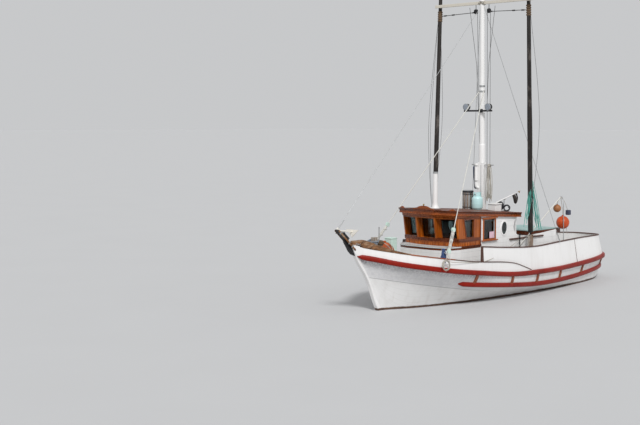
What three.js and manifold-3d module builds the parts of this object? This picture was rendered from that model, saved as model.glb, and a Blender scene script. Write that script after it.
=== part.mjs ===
// A small wooden fishing vessel of the salmon trolling type, in millimetres.
// +X is the bow, +Y is port, +Z is up. The origin is on the centreline, amidships, at the waterline.

import * as THREE from 'three';
import { mergeVertices } from 'three/addons/utils/BufferGeometryUtils.js';
import Module from 'manifold-3d';

const wasm = await Module();
wasm.setup();

// Gap left between two pieces that touch
const GAP = 0.4;

// Hull stations from the bow to the stern. Each row gives the station, the height of the flat along
// the keel, then half-breadth and height of the bilge, of the waterline, of the lower rail and of
// the deck edge.
const STATIONS = [
  // x, keelZ, bilgeY, bilgeZ, waterY, waterZ, lowerY, lowerZ, deckY, deckZ
  [5430, 1290, 62, 1310, 64, 1335, 70, 1360, 80, 1390],
  [5150, 900, 70, 950, 100, 1020, 180, 1150, 310, 1325],
  [4700, 100, 75, 200, 130, 400, 340, 800, 690, 1205],
  [4050, -480, 150, -250, 290, 0, 700, 680, 1090, 1080],
  [3300, -640, 330, -430, 530, 0, 1010, 640, 1300, 960],
  [2500, -700, 500, -490, 700, 0, 1240, 545, 1395, 858],
  [1000, -720, 620, -510, 850, 0, 1320, 400, 1410, 690],
  [-250, -710, 660, -500, 910, 0, 1260, 305, 1355, 635],
  [-1500, -680, 650, -480, 920, 0, 1160, 280, 1255, 620],
  [-2900, -590, 560, -400, 850, 0, 960, 295, 1070, 632],
  [-3900, -400, 400, -250, 700, 0, 790, 335, 900, 655],
  [-4500, -150, 260, -60, 540, 60, 620, 370, 740, 680],
  [-4850, 60, 150, 100, 300, 180, 400, 400, 520, 690],
  [-5010, 260, 62, 290, 110, 360, 150, 440, 230, 700],
];
const KEEL_HALF = 55;
const LOWER = 6;
const EDGE = 8;

const DECK = { thick: 40, inset: 60 };
const RAIL = { depth: 62, half: 64, lowerFrom: 2960 };
// Struts between the two rails, by station
const STRUTS = [2500, 1000, -240, -1500, -2950, -4480];
const STRUT_WIDE = 80;

// Bulwarks: station and height of the top, then the lean of the top inboard
const LOW_BULWARK = [[5430, 1625], [5150, 1555], [4700, 1460], [4050, 1350], [3300, 1240], [2500, 1130],
  [1000, 980], [100, 720]];
const HIGH_BULWARK = [[2200, 1480, 40], [1000, 1375, 50], [-250, 1305, 60], [-1500, 1330, 80],
  [-2900, 1330, 120], [-3900, 1310, 130], [-4500, 1290, 130], [-5010, 1270, 130]];
const BULWARK_THICK = 40;
const HIGH_STARTS = 2200;
const STERN_STARTS = -3900;

// Deckhouse: the sides stand this far from the centreline, and the front is in three facets
const HOUSE = {
  half: 900, wall: 40, sillX: 2610, sillZ: 1490, rake: 0.17, bow: 190, facetY: 305, varnishAft: 1735,
};
const TRUNK = { topZ: 1460, thick: 28, sideEnd: 2560 };
const ROOF = { aft: 0, front: 2790, aftZ: 2215, frontZ: 2392, half: 925, thick: 45, camber: 40, bow: 180 };
const FASCIA = { thick: 24, above: 12, below: 100 };
const MULLION = { deep: 230, half: 30 };
const FRONT_WINDOW = { low: 1680, high: 2190 };
const DOOR = { half: 290, low: 760, high: 1960, thick: 34 };

// Mast, crosstree and poles
const MAST = { x: 500, rake: 60, top: 7800, radius: 75, topRadius: 62, box: 180, boxTop: 3570 };
const CROSSTREE = { x: 560, half: 1600, wide: 60, high: 80 };
const LAMP_BAR = { z: 4960, x: 605, from: -520, to: 400, thick: 46, lamps: [-430, 300] };
const POLE = { length: 8700, footRadius: 68, midRadius: 54, tipRadius: 34 };
// Foot pin and the point where each pole passes the crosstree
const POLES = {
  port: { foot: [-150, 1155, 1610], pass: [440, 1400, 7840] },
  stbd: { foot: [1110, -1155, 1650], pass: [440, -1530, 7840] },
};

// Under water
const PROPELLER = { x: -4265, z: -690, shaft: 25, shaftEnd: -3625, hub: 60, blades: 3 };
const RUDDER = {
  stockX: -4570, stockRadius: 28, stockTop: 220, pintle: 16, heel: -1040, thick: 50, shoeTop: -1000,
};

const COLOURS = {
  white: 0xe9e7e2, oxide: 0x8c2f22, varnish: 0x7d3b1a, deck: 0xb9bbb8, glass: 0x2c3a3c, pole: 0x2c2623,
  steel: 0x9a9d9e, copper: 0x5e2f27, bronze: 0x9a7a3c, green: 0x9db4ae, aqua: 0xbfe3e3, orange: 0xd2602a,
  black: 0x222326, rope: 0xb8b4a8,
};

const fishingBoat = new THREE.Group();

function place(name, geometry, colour, roughness = 0.6, metalness = 0) {
  const material = new THREE.MeshStandardMaterial({ color: COLOURS[colour], roughness, metalness });
  const mesh = new THREE.Mesh(geometry, material);
  mesh.name = name;
  fishingBoat.add(mesh);
  return mesh;
}

// Solids: from a geometry to a manifold and back

function solid(geometry) {
  const bare = geometry.clone();
  bare.deleteAttribute('normal');
  bare.deleteAttribute('uv');
  const merged = mergeVertices(bare, 1e-3);
  const vertProperties = new Float32Array(merged.attributes.position.array);
  const triVerts = new Uint32Array(merged.index.array);
  return new wasm.Manifold(new wasm.Mesh({ numProp: 3, vertProperties, triVerts }));
}

function toGeometry(manifold) {
  const mesh = manifold.getMesh();
  const geometry = new THREE.BufferGeometry();
  geometry.setAttribute('position', new THREE.BufferAttribute(new Float32Array(mesh.vertProperties), 3));
  geometry.setIndex(Array.from(mesh.triVerts));
  return geometry;
}

function join(...geometries) {
  return toGeometry(geometries.map(solid).reduce((whole, piece) => whole.add(piece)));
}

// What is left of a piece after its cutters, without the crumbs that fall off
function cut(geometry, ...cutters) {
  const left = cutters.map(solid).reduce((whole, piece) => whole.subtract(piece), solid(geometry));
  const bodies = left.decompose().sort((a, b) => b.volume() - a.volume());
  return toGeometry(bodies[0]);
}

function mirrored(geometry) {
  return toGeometry(solid(geometry).mirror([0, 1, 0]));
}

// Simple forms

function box(low, high) {
  const size = high.map((value, i) => value - low[i]);
  const geometry = new THREE.BoxGeometry(...size);
  return geometry.translate(...low.map((value, i) => value + size[i] / 2));
}

// Turned piece on an axis from one point to another; rows are [distance along, radius]
function turned(from, to, rows, sides = 12) {
  const a = new THREE.Vector3(...from);
  const b = new THREE.Vector3(...to);
  const along = b.clone().sub(a);
  const profile = rows.map(([distance, radius]) => new THREE.Vector2(radius, distance));
  const geometry = new THREE.LatheGeometry(profile, sides);
  const turn = new THREE.Quaternion().setFromUnitVectors(new THREE.Vector3(0, 1, 0), along.normalize());
  return geometry.applyQuaternion(turn).translate(...from);
}

// Sides of a shaft and of its bore, and the bore's radius for a free turn of such a shaft
const ROUND = 24;
const PIN_SIDES = 12;
const boreFor = (radius, sides) => (radius + GAP) / Math.cos(Math.PI / sides);

function rod(from, to, radius, sides = 8, endRadius = radius) {
  const length = new THREE.Vector3(...from).distanceTo(new THREE.Vector3(...to));
  return turned(from, to, [[0, 0], [0, radius], [length, endRadius], [length, 0]], sides);
}

// Outline in the fore-and-aft plane, given as [x, z], between two distances from the centreline
function sidePlate(outline, yLow, yHigh, holes = []) {
  const shape = new THREE.Shape(outline.map(([x, z]) => new THREE.Vector2(x, z)));
  shape.holes = holes.map((hole) => new THREE.Path(hole.map(([x, z]) => new THREE.Vector2(x, z))));
  const geometry = new THREE.ExtrudeGeometry(shape, { depth: yHigh - yLow, bevelEnabled: false });
  return geometry.rotateX(Math.PI / 2).translate(0, yHigh, 0);
}

// Outline in plan, given as [x, y], between two heights
function planPlate(outline, zLow, zHigh) {
  const shape = new THREE.Shape(outline.map(([x, y]) => new THREE.Vector2(x, y)));
  const geometry = new THREE.ExtrudeGeometry(shape, { depth: zHigh - zLow, bevelEnabled: false });
  return geometry.translate(0, 0, zLow);
}

// Outline across the boat, given as [y, z], between two stations
function crossPlate(outline, xLow, xHigh, holes = []) {
  const shape = new THREE.Shape(outline.map(([y, z]) => new THREE.Vector2(y, z)));
  shape.holes = holes.map((hole) => new THREE.Path(hole.map(([y, z]) => new THREE.Vector2(y, z))));
  const geometry = new THREE.ExtrudeGeometry(shape, { depth: xHigh - xLow, bevelEnabled: false });
  const turn = new THREE.Matrix4().makeBasis(
    new THREE.Vector3(0, 1, 0), new THREE.Vector3(0, 0, 1), new THREE.Vector3(1, 0, 0));
  return geometry.applyMatrix4(turn).translate(xLow, 0, 0);
}

function ellipse(x, z, halfX, halfZ, steps = 16) {
  return Array.from({ length: steps }, (_, i) => {
    const angle = (i / steps) * 2 * Math.PI;
    return [x + halfX * Math.cos(angle), z + halfZ * Math.sin(angle)];
  });
}

// Closed skin over rings of points, with its two ends filled; a mirrored ring gets a mirrored skin
function loft(rings) {
  const count = rings[0].length;
  const points = rings.flat();
  const faces = [];
  for (let r = 0; r < rings.length - 1; r += 1) {
    for (let i = 0; i < count; i += 1) {
      const j = (i + 1) % count;
      const a = r * count + i;
      const b = r * count + j;
      if (i < count / 2) {
        faces.push(a, b, b + count, a, b + count, a + count);
      } else {
        faces.push(a, b, a + count, b, b + count, a + count);
      }
    }
  }
  const centre = (ring) => [0, 1, 2].map((k) => ring.reduce((sum, p) => sum + p[k], 0) / count);
  const first = points.push(centre(rings[0])) - 1;
  const last = points.push(centre(rings[rings.length - 1])) - 1;
  const lastRing = (rings.length - 1) * count;
  for (let i = 0; i < count; i += 1) {
    const j = (i + 1) % count;
    faces.push(first, j, i, last, lastRing + i, lastRing + j);
  }
  const geometry = new THREE.BufferGeometry();
  geometry.setAttribute('position', new THREE.Float32BufferAttribute(points.flat(), 3));
  geometry.setIndex(faces);
  return signedVolume(geometry) < 0 ? flipped(geometry) : geometry;
}

function signedVolume(geometry) {
  const position = geometry.attributes.position;
  const corner = (i) => new THREE.Vector3().fromBufferAttribute(position, geometry.index.getX(i));
  let volume = 0;
  for (let i = 0; i < geometry.index.count; i += 3) {
    volume += corner(i).dot(corner(i + 1).cross(corner(i + 2))) / 6;
  }
  return volume;
}

function flipped(geometry) {
  const index = Array.from(geometry.index.array);
  for (let i = 0; i < index.length; i += 3) {
    [index[i + 1], index[i + 2]] = [index[i + 2], index[i + 1]];
  }
  geometry.setIndex(index);
  return geometry;
}

// Smooth value of one column of a table at a station; the stations run from high to low
function along(table, x, column) {
  const last = table.length - 1;
  if (x >= table[0][0]) return table[0][column];
  if (x <= table[last][0]) return table[last][column];
  const i = table.findIndex((row) => row[0] <= x) - 1;
  const slope = (k) => {
    const before = table[Math.max(k - 1, 0)];
    const after = table[Math.min(k + 1, last)];
    return (after[column] - before[column]) / (after[0] - before[0]);
  };
  const span = table[i + 1][0] - table[i][0];
  const t = (x - table[i][0]) / span;
  const [a, b] = [table[i][column], table[i + 1][column]];
  const h = t * t * (3 - 2 * t);
  return a + (b - a) * h + span * (slope(i) * t * (1 - t) * (1 - t) - slope(i + 1) * t * t * (1 - t));
}

function straight(table, x, column = 1) {
  const last = table.length - 1;
  if (x >= table[0][0]) return table[0][column];
  if (x <= table[last][0]) return table[last][column];
  const i = table.findIndex((row) => row[0] <= x) - 1;
  const t = (x - table[i][0]) / (table[i + 1][0] - table[i][0]);
  return table[i][column] + t * (table[i + 1][column] - table[i][column]);
}

// Hull sections: nine points a side, from the keel to the deck edge
const RING_STATIONS = STATIONS.flatMap(([x], i) => (
  i === 0 ? [x] : [(x + STATIONS[i - 1][0]) / 2, x]));

function halfSection(x) {
  const corners = [[KEEL_HALF, along(STATIONS, x, 1)]];
  for (let column = 2; column < 10; column += 2) {
    corners.push([along(STATIONS, x, column), along(STATIONS, x, column + 1)]);
  }
  const points = [];
  corners.forEach((p, i) => {
    points.push(p);
    if (i === corners.length - 1) return;
    const q = corners[i + 1];
    const o = corners[Math.max(i - 1, 0)];
    const r = corners[Math.min(i + 2, corners.length - 1)];
    points.push([0, 1].map((k) => (9 * (p[k] + q[k]) - o[k] - r[k]) / 16));
  });
  return points;
}

const HALF_SECTIONS = RING_STATIONS.map(halfSection);
const unit = (u, v) => [u / Math.hypot(u, v), v / Math.hypot(u, v)];

// The hull, or the hull with its skin moved out to cut its neighbours by
function hullForm(grow = 0) {
  const rings = RING_STATIONS.map((x, r) => {
    const half = HALF_SECTIONS[r];
    const moved = half.map((p, i) => {
      const before = half[Math.max(i - 1, 0)];
      const after = half[Math.min(i + 1, half.length - 1)];
      const [dy, dz] = [after[0] - before[0], after[1] - before[1]];
      const length = Math.hypot(dy, dz) || 1;
      return [p[0] + (grow * dz) / length, p[1] - (grow * dy) / length];
    });
    if (grow) {
      const [ty, tz] = unit(half[EDGE][0] - half[EDGE - 1][0], half[EDGE][1] - half[EDGE - 1][1]);
      moved[EDGE] = [half[EDGE][0] + grow * (tz + (ty * (1 + ty)) / tz), half[EDGE][1] + grow];
      moved[0] = [half[0][0] + grow * 0.5, half[0][1] - grow];
    }
    const end = r === 0 ? grow : r === RING_STATIONS.length - 1 ? -grow : 0;
    const port = moved.map(([y, z]) => [x + end, y, z]);
    return [...port, ...port.map(([px, y, z]) => [px, -y, z]).reverse()];
  });
  return loft(rings);
}

// Line along a level of the hull, from the port bow round the stern to the starboard bow
function levelLine(point) {
  const port = RING_STATIONS.map((x, r) => [x, ...HALF_SECTIONS[r][point]]);
  return [...port, ...port.map(([x, y, z]) => [x, -y, z]).reverse()];
}

// Point of a level at one station, on the straight lines between the sections
function levelAt(point, x) {
  const rows = RING_STATIONS.map((station, r) => [station, ...HALF_SECTIONS[r][point]]);
  return [straight(rows, x, 1), straight(rows, x, 2)];
}

// Outward direction in plan at each point of a line, lengthened at corners to keep the thickness
function outward(line) {
  return line.map((p, i) => {
    const before = line[Math.max(i - 1, 0)];
    const after = line[Math.min(i + 1, line.length - 1)];
    const a = new THREE.Vector2(p[0] - before[0], p[1] - before[1]).normalize();
    const b = new THREE.Vector2(after[0] - p[0], after[1] - p[1]).normalize();
    const middle = a.clone().add(b).normalize();
    const stretch = 1 / Math.max(0.7, middle.dot(a.lengthSq() ? a : b));
    return [middle.y * stretch, -middle.x * stretch];
  });
}

// Strip along a line; section(point, i) gives its corners as [outboard, height]
function strip(line, directions, section) {
  return loft(line.map((p, i) => section(p, i).map(([out, z]) => [
    p[0] + out * directions[i][0], p[1] + out * directions[i][1], z])));
}

const EDGE_LINE = levelLine(EDGE);
const EDGE_OUT = outward(EDGE_LINE);
const LOWER_LINE = levelLine(LOWER);
const LOWER_OUT = outward(LOWER_LINE);

// Part of a line on the port side between two stations, with its ends exactly there
function stretchOf(line, directions, from, to) {
  const points = [];
  const ways = [];
  const half = line.length / 2;
  const add = (x) => {
    const i = line.findIndex((p, k) => k < half - 1 && p[0] >= x && line[k + 1][0] <= x);
    const t = (x - line[i][0]) / (line[i + 1][0] - line[i][0]);
    points.push(line[i].map((value, k) => value + t * (line[i + 1][k] - value)));
    ways.push(directions[i].map((value, k) => value + t * (directions[i + 1][k] - value)));
  };
  add(from);
  for (let i = 0; i < half; i += 1) {
    if (line[i][0] < from - 1 && line[i][0] > to + 1) {
      points.push(line[i]);
      ways.push(directions[i]);
    }
  }
  add(to);
  return [points, ways];
}

// The part of a line that runs round the stern, aft of a station
function sternOf(line, directions, from) {
  const [points, ways] = stretchOf(line, directions, from, line[line.length / 2 - 1][0] + 0.5);
  const other = points.map(([x, y, z]) => [x, -y, z]).reverse();
  return [[...points, ...other], [...ways, ...ways.map(([x, y]) => [x, -y]).reverse()]];
}

// Hull, backbone and deck

const hullSkin = hullForm();
const hullCutter = hullForm(1.5 * GAP);

// Outer edge of the stem, from its head down to the forefoot, then the keel to the rudder heel
const STEM = [[5720, 1705], [5660, 1580], [5480, 1250], [5230, 930], [5050, 620], [4940, 360], [4840, 150],
  [4750, 0], [4560, -300], [4300, -560], [3900, -760], [3400, -860]];
const HEEL = [[-4840, -1070], [-4840, RUDDER.shoeTop], [-4110, RUDDER.shoeTop], [-4110, -200]];
const INSIDE = [[-3500, -300], [3300, -300], [4150, -100], [4750, 700], [5200, 1180], [5400, 1380],
  [5440, 1660]];

function backbone(grow) {
  const inside = INSIDE.map(([x, z]) => [x - grow, z]);
  return sidePlate([...STEM, ...HEEL, ...inside], -KEEL_HALF - grow, KEEL_HALF + grow);
}

const shaftBore = rod([-4200, 0, PROPELLER.z], [PROPELLER.shaftEnd + 20, 0, PROPELLER.z],
  boreFor(PROPELLER.shaft, ROUND), ROUND);
const upright = (low, high, radius) => rod([RUDDER.stockX, 0, low], [RUDDER.stockX, 0, high], radius, ROUND);
const stockBore = upright(-400, RUDDER.stockTop + 40, boreFor(RUDDER.stockRadius, ROUND));
const heelBore = upright(RUDDER.heel - GAP, -900, boreFor(RUDDER.pintle, ROUND));

place('hull', cut(hullSkin, stockBore), 'white', 0.45);
place('keel_and_stem', cut(backbone(0), hullCutter, shaftBore, heelBore), 'white', 0.5);

function deckForm(low, high, wider = 0) {
  return loft(RING_STATIONS.map((x, r) => {
    const [y, z] = HALF_SECTIONS[r][EDGE];
    const half = Math.max(y - DECK.inset, 12) + wider;
    const at = r === RING_STATIONS.length - 1 ? x + DECK.inset - wider : x;
    return [[at, half, z + low], [at, half, z + high], [at, -half, z + high], [at, -half, z + low]];
  }));
}

// Everything below the top of the deck, to seat what stands on it
const underDeck = deckForm(-900, DECK.thick + 2 * GAP, 2000);
const stemCutter = backbone(GAP);
place('deck', cut(deckForm(GAP, DECK.thick + GAP), stemCutter), 'deck', 0.8);

// Board over the bow, and the post that stands through it

const BOW_BOARD = { aft: 4480, thick: 32, over: 18 };
function bowBoard(low, high, grow) {
  const stations = [5400 + grow, 5150, 4925, 4700, BOW_BOARD.aft - grow];
  return loft(stations.map((x) => {
    const z = straight(LOW_BULWARK, x);
    const y = along(STATIONS, x, 8) + BOW_BOARD.over + grow;
    return [[x, y, z + low], [x, y, z + high], [x, -y, z + high], [x, -y, z + low]];
  }));
}
const POST = { x: 4860, half: 60, top: 1830 };
const postForm = (grow) => box([POST.x - POST.half - grow, -POST.half - grow, 900],
  [POST.x + POST.half + grow, POST.half + grow, POST.top]);
place('bow_board', cut(bowBoard(GAP, GAP + BOW_BOARD.thick, 0), stemCutter, postForm(GAP)), 'varnish', 0.6);
const boardCutter = bowBoard(0, 200, 60);
const postPin = rod([POST.x, -150, POST.top - 90], [POST.x, 150, POST.top - 90], 16, 10);
place('samson_post', join(cut(postForm(0), underDeck), postPin), 'varnish', 0.6);

// Bulwarks

const [lowLine, lowWays] = stretchOf(EDGE_LINE, EDGE_OUT, 5400, 100);
const lowBulwark = cut(strip(lowLine, lowWays, ([x, , z]) => {
  const top = straight(LOW_BULWARK, x);
  const high = Math.max(top, z + 40);
  return [[0, z + GAP], [0, high], [-BULWARK_THICK, high], [-BULWARK_THICK, z + GAP]];
}), stemCutter, hullCutter, boardCutter);
place('bulwark_fore_port', lowBulwark, 'white', 0.45);
place('bulwark_fore_stbd', mirrored(lowBulwark), 'white', 0.45);

function highSection([x, , z]) {
  const ahead = THREE.MathUtils.clamp((x + 1500) / 1200, 0, 1);
  const outer = -6 - (BULWARK_THICK + GAP - 6) * ahead;
  const lean = along(HIGH_BULWARK, x, 2);
  const top = along(HIGH_BULWARK, x, 1);
  const inboard = outer - BULWARK_THICK;
  return [[outer, z + GAP], [outer - lean, top], [inboard - lean, top], [inboard, z + GAP]];
}

function highBulwark([line, ways]) {
  return cut(strip(line, ways, highSection), deckCutter, hullCutter);
}

const deckCutter = deckForm(-20, DECK.thick + 2 * GAP, GAP);
const highPort = highBulwark(stretchOf(EDGE_LINE, EDGE_OUT, HIGH_STARTS, STERN_STARTS + GAP));
place('bulwark_aft_port', highPort, 'white', 0.45);
place('bulwark_aft_stbd', mirrored(highPort), 'white', 0.45);
place('bulwark_stern', highBulwark(sternOf(EDGE_LINE, EDGE_OUT, STERN_STARTS)), 'white', 0.45);

// Rails

function halfRound(z, grow = 0) {
  const [depth, half] = [RAIL.depth + grow, RAIL.half + grow];
  return [[-30, z - half], [depth * 0.6, z - half], [depth, z - half * 0.45], [depth, z + half * 0.45],
    [depth * 0.6, z + half], [-30, z + half]];
}

const railOn = ([points, ways], grow = 0) => strip(points, ways, ([, , z]) => halfRound(z, grow));
const besideOn = ([points, ways]) => strip(points, ways, ([, , z]) => [
  [GAP, z - 5], [GAP, z + 300], [-60, z + 300], [-60, z - 5]]);

const RAIL_AFT = -4675;
const upperLine = stretchOf(EDGE_LINE, EDGE_OUT, 5410, RAIL_AFT);
const bulwarkFaces = besideOn(stretchOf(EDGE_LINE, EDGE_OUT, 5420, -4800));
const upperRail = cut(railOn(upperLine), hullCutter, bulwarkFaces, stemCutter);
place('rail_upper_port', upperRail, 'oxide', 0.7);
place('rail_upper_stbd', mirrored(upperRail), 'oxide', 0.7);

function strut(x) {
  const half = STRUT_WIDE / 2;
  const depth = RAIL.depth * 0.6;
  const sunk = 60;
  const section = (at) => {
    const [yLow, low] = levelAt(LOWER, at);
    const [yHigh, edge] = levelAt(EDGE, at);
    const high = edge - RAIL.half + 10;
    return [[at, yLow - sunk, low], [at, yLow + depth, low],
      [at, yHigh + depth, high], [at, yHigh - sunk, high]];
  };
  return loft([section(x + half), section(x - half)]);
}

const lowerRail = cut(
  join(railOn(stretchOf(LOWER_LINE, LOWER_OUT, RAIL.lowerFrom, RAIL_AFT)), ...STRUTS.map(strut)),
  hullCutter, railOn(upperLine, GAP));
place('rail_lower_port', lowerRail, 'oxide', 0.7);
place('rail_lower_stbd', mirrored(lowerRail), 'oxide', 0.7);
const upperStern = sternOf(EDGE_LINE, EDGE_OUT, RAIL_AFT - GAP);
const sternFace = besideOn(sternOf(EDGE_LINE, EDGE_OUT, RAIL_AFT + 60));
place('rail_upper_stern', cut(railOn(upperStern), hullCutter, sternFace), 'oxide', 0.7);
const lowerStern = sternOf(LOWER_LINE, LOWER_OUT, RAIL_AFT - GAP);
place('rail_lower_stern', cut(railOn(lowerStern), hullCutter), 'oxide', 0.7);

// Deckhouse

const raked = new THREE.Matrix4().set(
  1, 0, HOUSE.rake, -HOUSE.rake * HOUSE.sillZ,
  0, 1, 0, 0,
  0, 0, 1, 0,
  0, 0, 0, 1);
const roofTop = (x) => ROOF.aftZ + ((x - ROOF.aft) / (ROOF.front - ROOF.aft)) * (ROOF.frontZ - ROOF.aftZ);
const underRoof = (x) => roofTop(x) - ROOF.thick - GAP;
const frontX = (z) => HOUSE.sillX + HOUSE.rake * (z - HOUSE.sillZ);

// Aft edge of the side: the scroll, from the roof down to the low coaming and its aft end
const SCROLL = [[60, 2140], [240, 1985], [285, 1850], [205, 1690], [60, 1625], [-150, 1590], [-434, 1582],
  [-1000, 1595], [-1770, 1655]];
const SIDE_WINDOW = { aft: 1110, fore: 1620, low: 1600, high: 2130 };
const OVAL = { x: 710, z: 1850, halfX: 130, halfZ: 180 };
const FORE_WINDOW = { aft: 2035, fore: 2345, foreTop: 2440, low: 1700, high: 2165 };

const rectangle = ({ aft, fore, foreTop = fore, low, high }) => (
  [[aft, low], [fore, low], [foreTop, high], [aft, high]]);
const cabinSideOutline = [
  [-1770, 500], [TRUNK.sideEnd, 500], [TRUNK.sideEnd, TRUNK.topZ - GAP],
  [HOUSE.varnishAft - GAP, TRUNK.topZ - GAP], [HOUSE.varnishAft - GAP, underRoof(HOUSE.varnishAft)],
  [60, underRoof(60)], ...SCROLL.slice(1)];
const cabinHoles = [rectangle(SIDE_WINDOW), ellipse(OVAL.x, OVAL.z, OVAL.halfX, OVAL.halfZ)];
const cabinSide = cut(
  sidePlate(cabinSideOutline, HOUSE.half - HOUSE.wall, HOUSE.half, cabinHoles), underDeck);
place('cabin_side_port', cabinSide, 'white', 0.45);
place('cabin_side_stbd', mirrored(cabinSide), 'white', 0.45);

// Low trunk ahead of the house: a bent front wall and its top
const TRUNK_PLAN = [[TRUNK.sideEnd + GAP, 900], [2860, 860], [3050, 700], [3130, 380]];
const bothSides = (plan) => [...plan, ...plan.map(([x, y]) => [x, -y]).reverse()];
const inset = (plan, by) => plan.map(([x, y], i) => (i === 0 ? [x, y - by] : [x - by, y - by * 0.6]));
const trunkRing = [...bothSides(TRUNK_PLAN), ...bothSides(inset(TRUNK_PLAN, HOUSE.wall)).reverse()];
place('trunk_front', cut(planPlate(trunkRing, 500, TRUNK.topZ - GAP), underDeck), 'white', 0.45);
const TRUNK_TOP = { aft: 2381, lip: 22 };
const trunkTopPlan = bothSides([
  [TRUNK_TOP.aft, 900], [TRUNK.sideEnd, 900], [TRUNK.sideEnd, 900 + TRUNK_TOP.lip],
  [2870, 860 + TRUNK_TOP.lip], [3050 + TRUNK_TOP.lip, 705], [3130 + TRUNK_TOP.lip, 380]]);
place('trunk_top', planPlate(trunkTopPlan, TRUNK.topZ, TRUNK.topZ + TRUNK.thick), 'deck', 0.7);

// Varnished fore part of the sides, raked at the front
const foreSide = sidePlate([
  [HOUSE.varnishAft, TRUNK.topZ], [frontX(TRUNK.topZ) - MULLION.deep, TRUNK.topZ],
  [frontX(2290) - MULLION.deep, underRoof(frontX(2290) - MULLION.deep)],
  [HOUSE.varnishAft, underRoof(HOUSE.varnishAft)]],
HOUSE.half - HOUSE.wall, HOUSE.half, [rectangle(FORE_WINDOW)]);
place('wheelhouse_side_port', foreSide, 'varnish', 0.35);
place('wheelhouse_side_stbd', mirrored(foreSide), 'varnish', 0.35);

// Front: three facets of deep upright boards with a pane behind each opening
const facets = [[HOUSE.sillX, HOUSE.half], [HOUSE.sillX + HOUSE.bow, HOUSE.facetY]];
const backFacets = facets.map(([x, y], i) => [x - MULLION.deep + GAP, y - (i === 0 ? 0 : 10)]);
const frontBlock = planPlate([...bothSides(facets), ...bothSides(backFacets).reverse()],
  TRUNK.topZ + TRUNK.thick + GAP, 2500).applyMatrix4(raked);
const roofCutter = sidePlate(
  [[-200, underRoof(-200)], [3300, underRoof(3300)], [3300, 2900], [-200, 2900]], -1200, 1200);
const [paneFrom, paneTo] = [HOUSE.facetY + MULLION.half, HOUSE.half - 50];
const middle = HOUSE.facetY - MULLION.half;
const WINDOWS = [[-paneTo, -paneFrom], [-middle, middle], [paneFrom, paneTo]];
const windowCutters = WINDOWS.map(([low, high]) => (
  box([2100, low, FRONT_WINDOW.low], [3100, high, FRONT_WINDOW.high]).applyMatrix4(raked)));
place('wheelhouse_front', cut(frontBlock, roofCutter, ...windowCutters), 'varnish', 0.35);

// Panes behind the openings
const PANE = 6;
const frontPane = planPlate([
  ...bothSides(backFacets.map(([x, y], i) => [x - GAP, i === 0 ? 850 : y])),
  ...bothSides(backFacets.map(([x, y], i) => [x - GAP - PANE, i === 0 ? 850 : y])).reverse()],
FRONT_WINDOW.low - 25, FRONT_WINDOW.high + 25).applyMatrix4(raked);
place('glass_front', frontPane, 'glass', 0.1);
const paneFace = HOUSE.half - HOUSE.wall - GAP;
const REBATE = 20;
const paneOf = ({ aft, fore, foreTop = fore, low, high }) => sidePlate(rectangle({
  aft: aft - REBATE,
  fore: fore + REBATE,
  foreTop: foreTop + REBATE,
  low: low - REBATE,
  high: high + REBATE,
}), paneFace - PANE, paneFace);
for (const [name, window] of [['glass_fore_side', FORE_WINDOW], ['glass_side', SIDE_WINDOW]]) {
  place(`${name}_port`, paneOf(window), 'glass', 0.1);
  place(`${name}_stbd`, mirrored(paneOf(window)), 'glass', 0.1);
}

// After wall with the doorway, and the door on its starboard side
const backWallX = 90;
const inner = HOUSE.half - HOUSE.wall - GAP;
const doorway = [[-DOOR.half, DOOR.low], [DOOR.half, DOOR.low],
  [DOOR.half, DOOR.high], [-DOOR.half, DOOR.high]];
const backTop = underRoof(backWallX);
const backWall = crossPlate([[-inner, 500], [inner, 500], [inner, backTop], [-inner, backTop]],
  backWallX, backWallX + HOUSE.wall, [doorway]);
place('wheelhouse_back', cut(backWall, underDeck), 'white', 0.45);
const DOOR_PLAY = 6;
const doorPin = { x: backWallX - 22, y: -DOOR.half - 12, radius: 5 };
const LUGS = [DOOR.low + 100, DOOR.high - 160];
const LUG_HALF = 20;
const onPin = (low, high, radius) => (
  rod([doorPin.x, doorPin.y, low], [doorPin.x, doorPin.y, high], radius, PIN_SIDES));
const doorLeaf = join(
  box([backWallX + 3, -DOOR.half + DOOR_PLAY, DOOR.low + DOOR_PLAY],
    [backWallX + 3 + DOOR.thick, DOOR.half - DOOR_PLAY, DOOR.high - DOOR_PLAY]),
  ...LUGS.map((z) => join(
    cut(onPin(z + LUG_HALF + GAP, z + 80, 12), onPin(z, z + 100, boreFor(doorPin.radius, PIN_SIDES))),
    box([doorPin.x - 2, doorPin.y + 7, z + LUG_HALF + GAP], [backWallX - 10, -DOOR.half + 60, z + 80]),
    box([backWallX - 14, -DOOR.half + DOOR_PLAY, z + LUG_HALF + GAP],
      [backWallX + 5, -DOOR.half + 60, z + 80]))));
place('wheelhouse_door', doorLeaf, 'varnish', 0.4);
const hingeStrips = join(
  box([backWallX - 10, -DOOR.half - 70, DOOR.low + 40], [backWallX - GAP, -DOOR.half - 40, DOOR.high - 40]),
  ...LUGS.map((z) => join(
    box([doorPin.x - 8, -DOOR.half - 70, z - LUG_HALF], [backWallX - GAP, doorPin.y + 6, z + LUG_HALF]),
    onPin(z, z + 70, doorPin.radius))));
place('door_hinge', hingeStrips, 'bronze', 0.4, 0.8);

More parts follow.
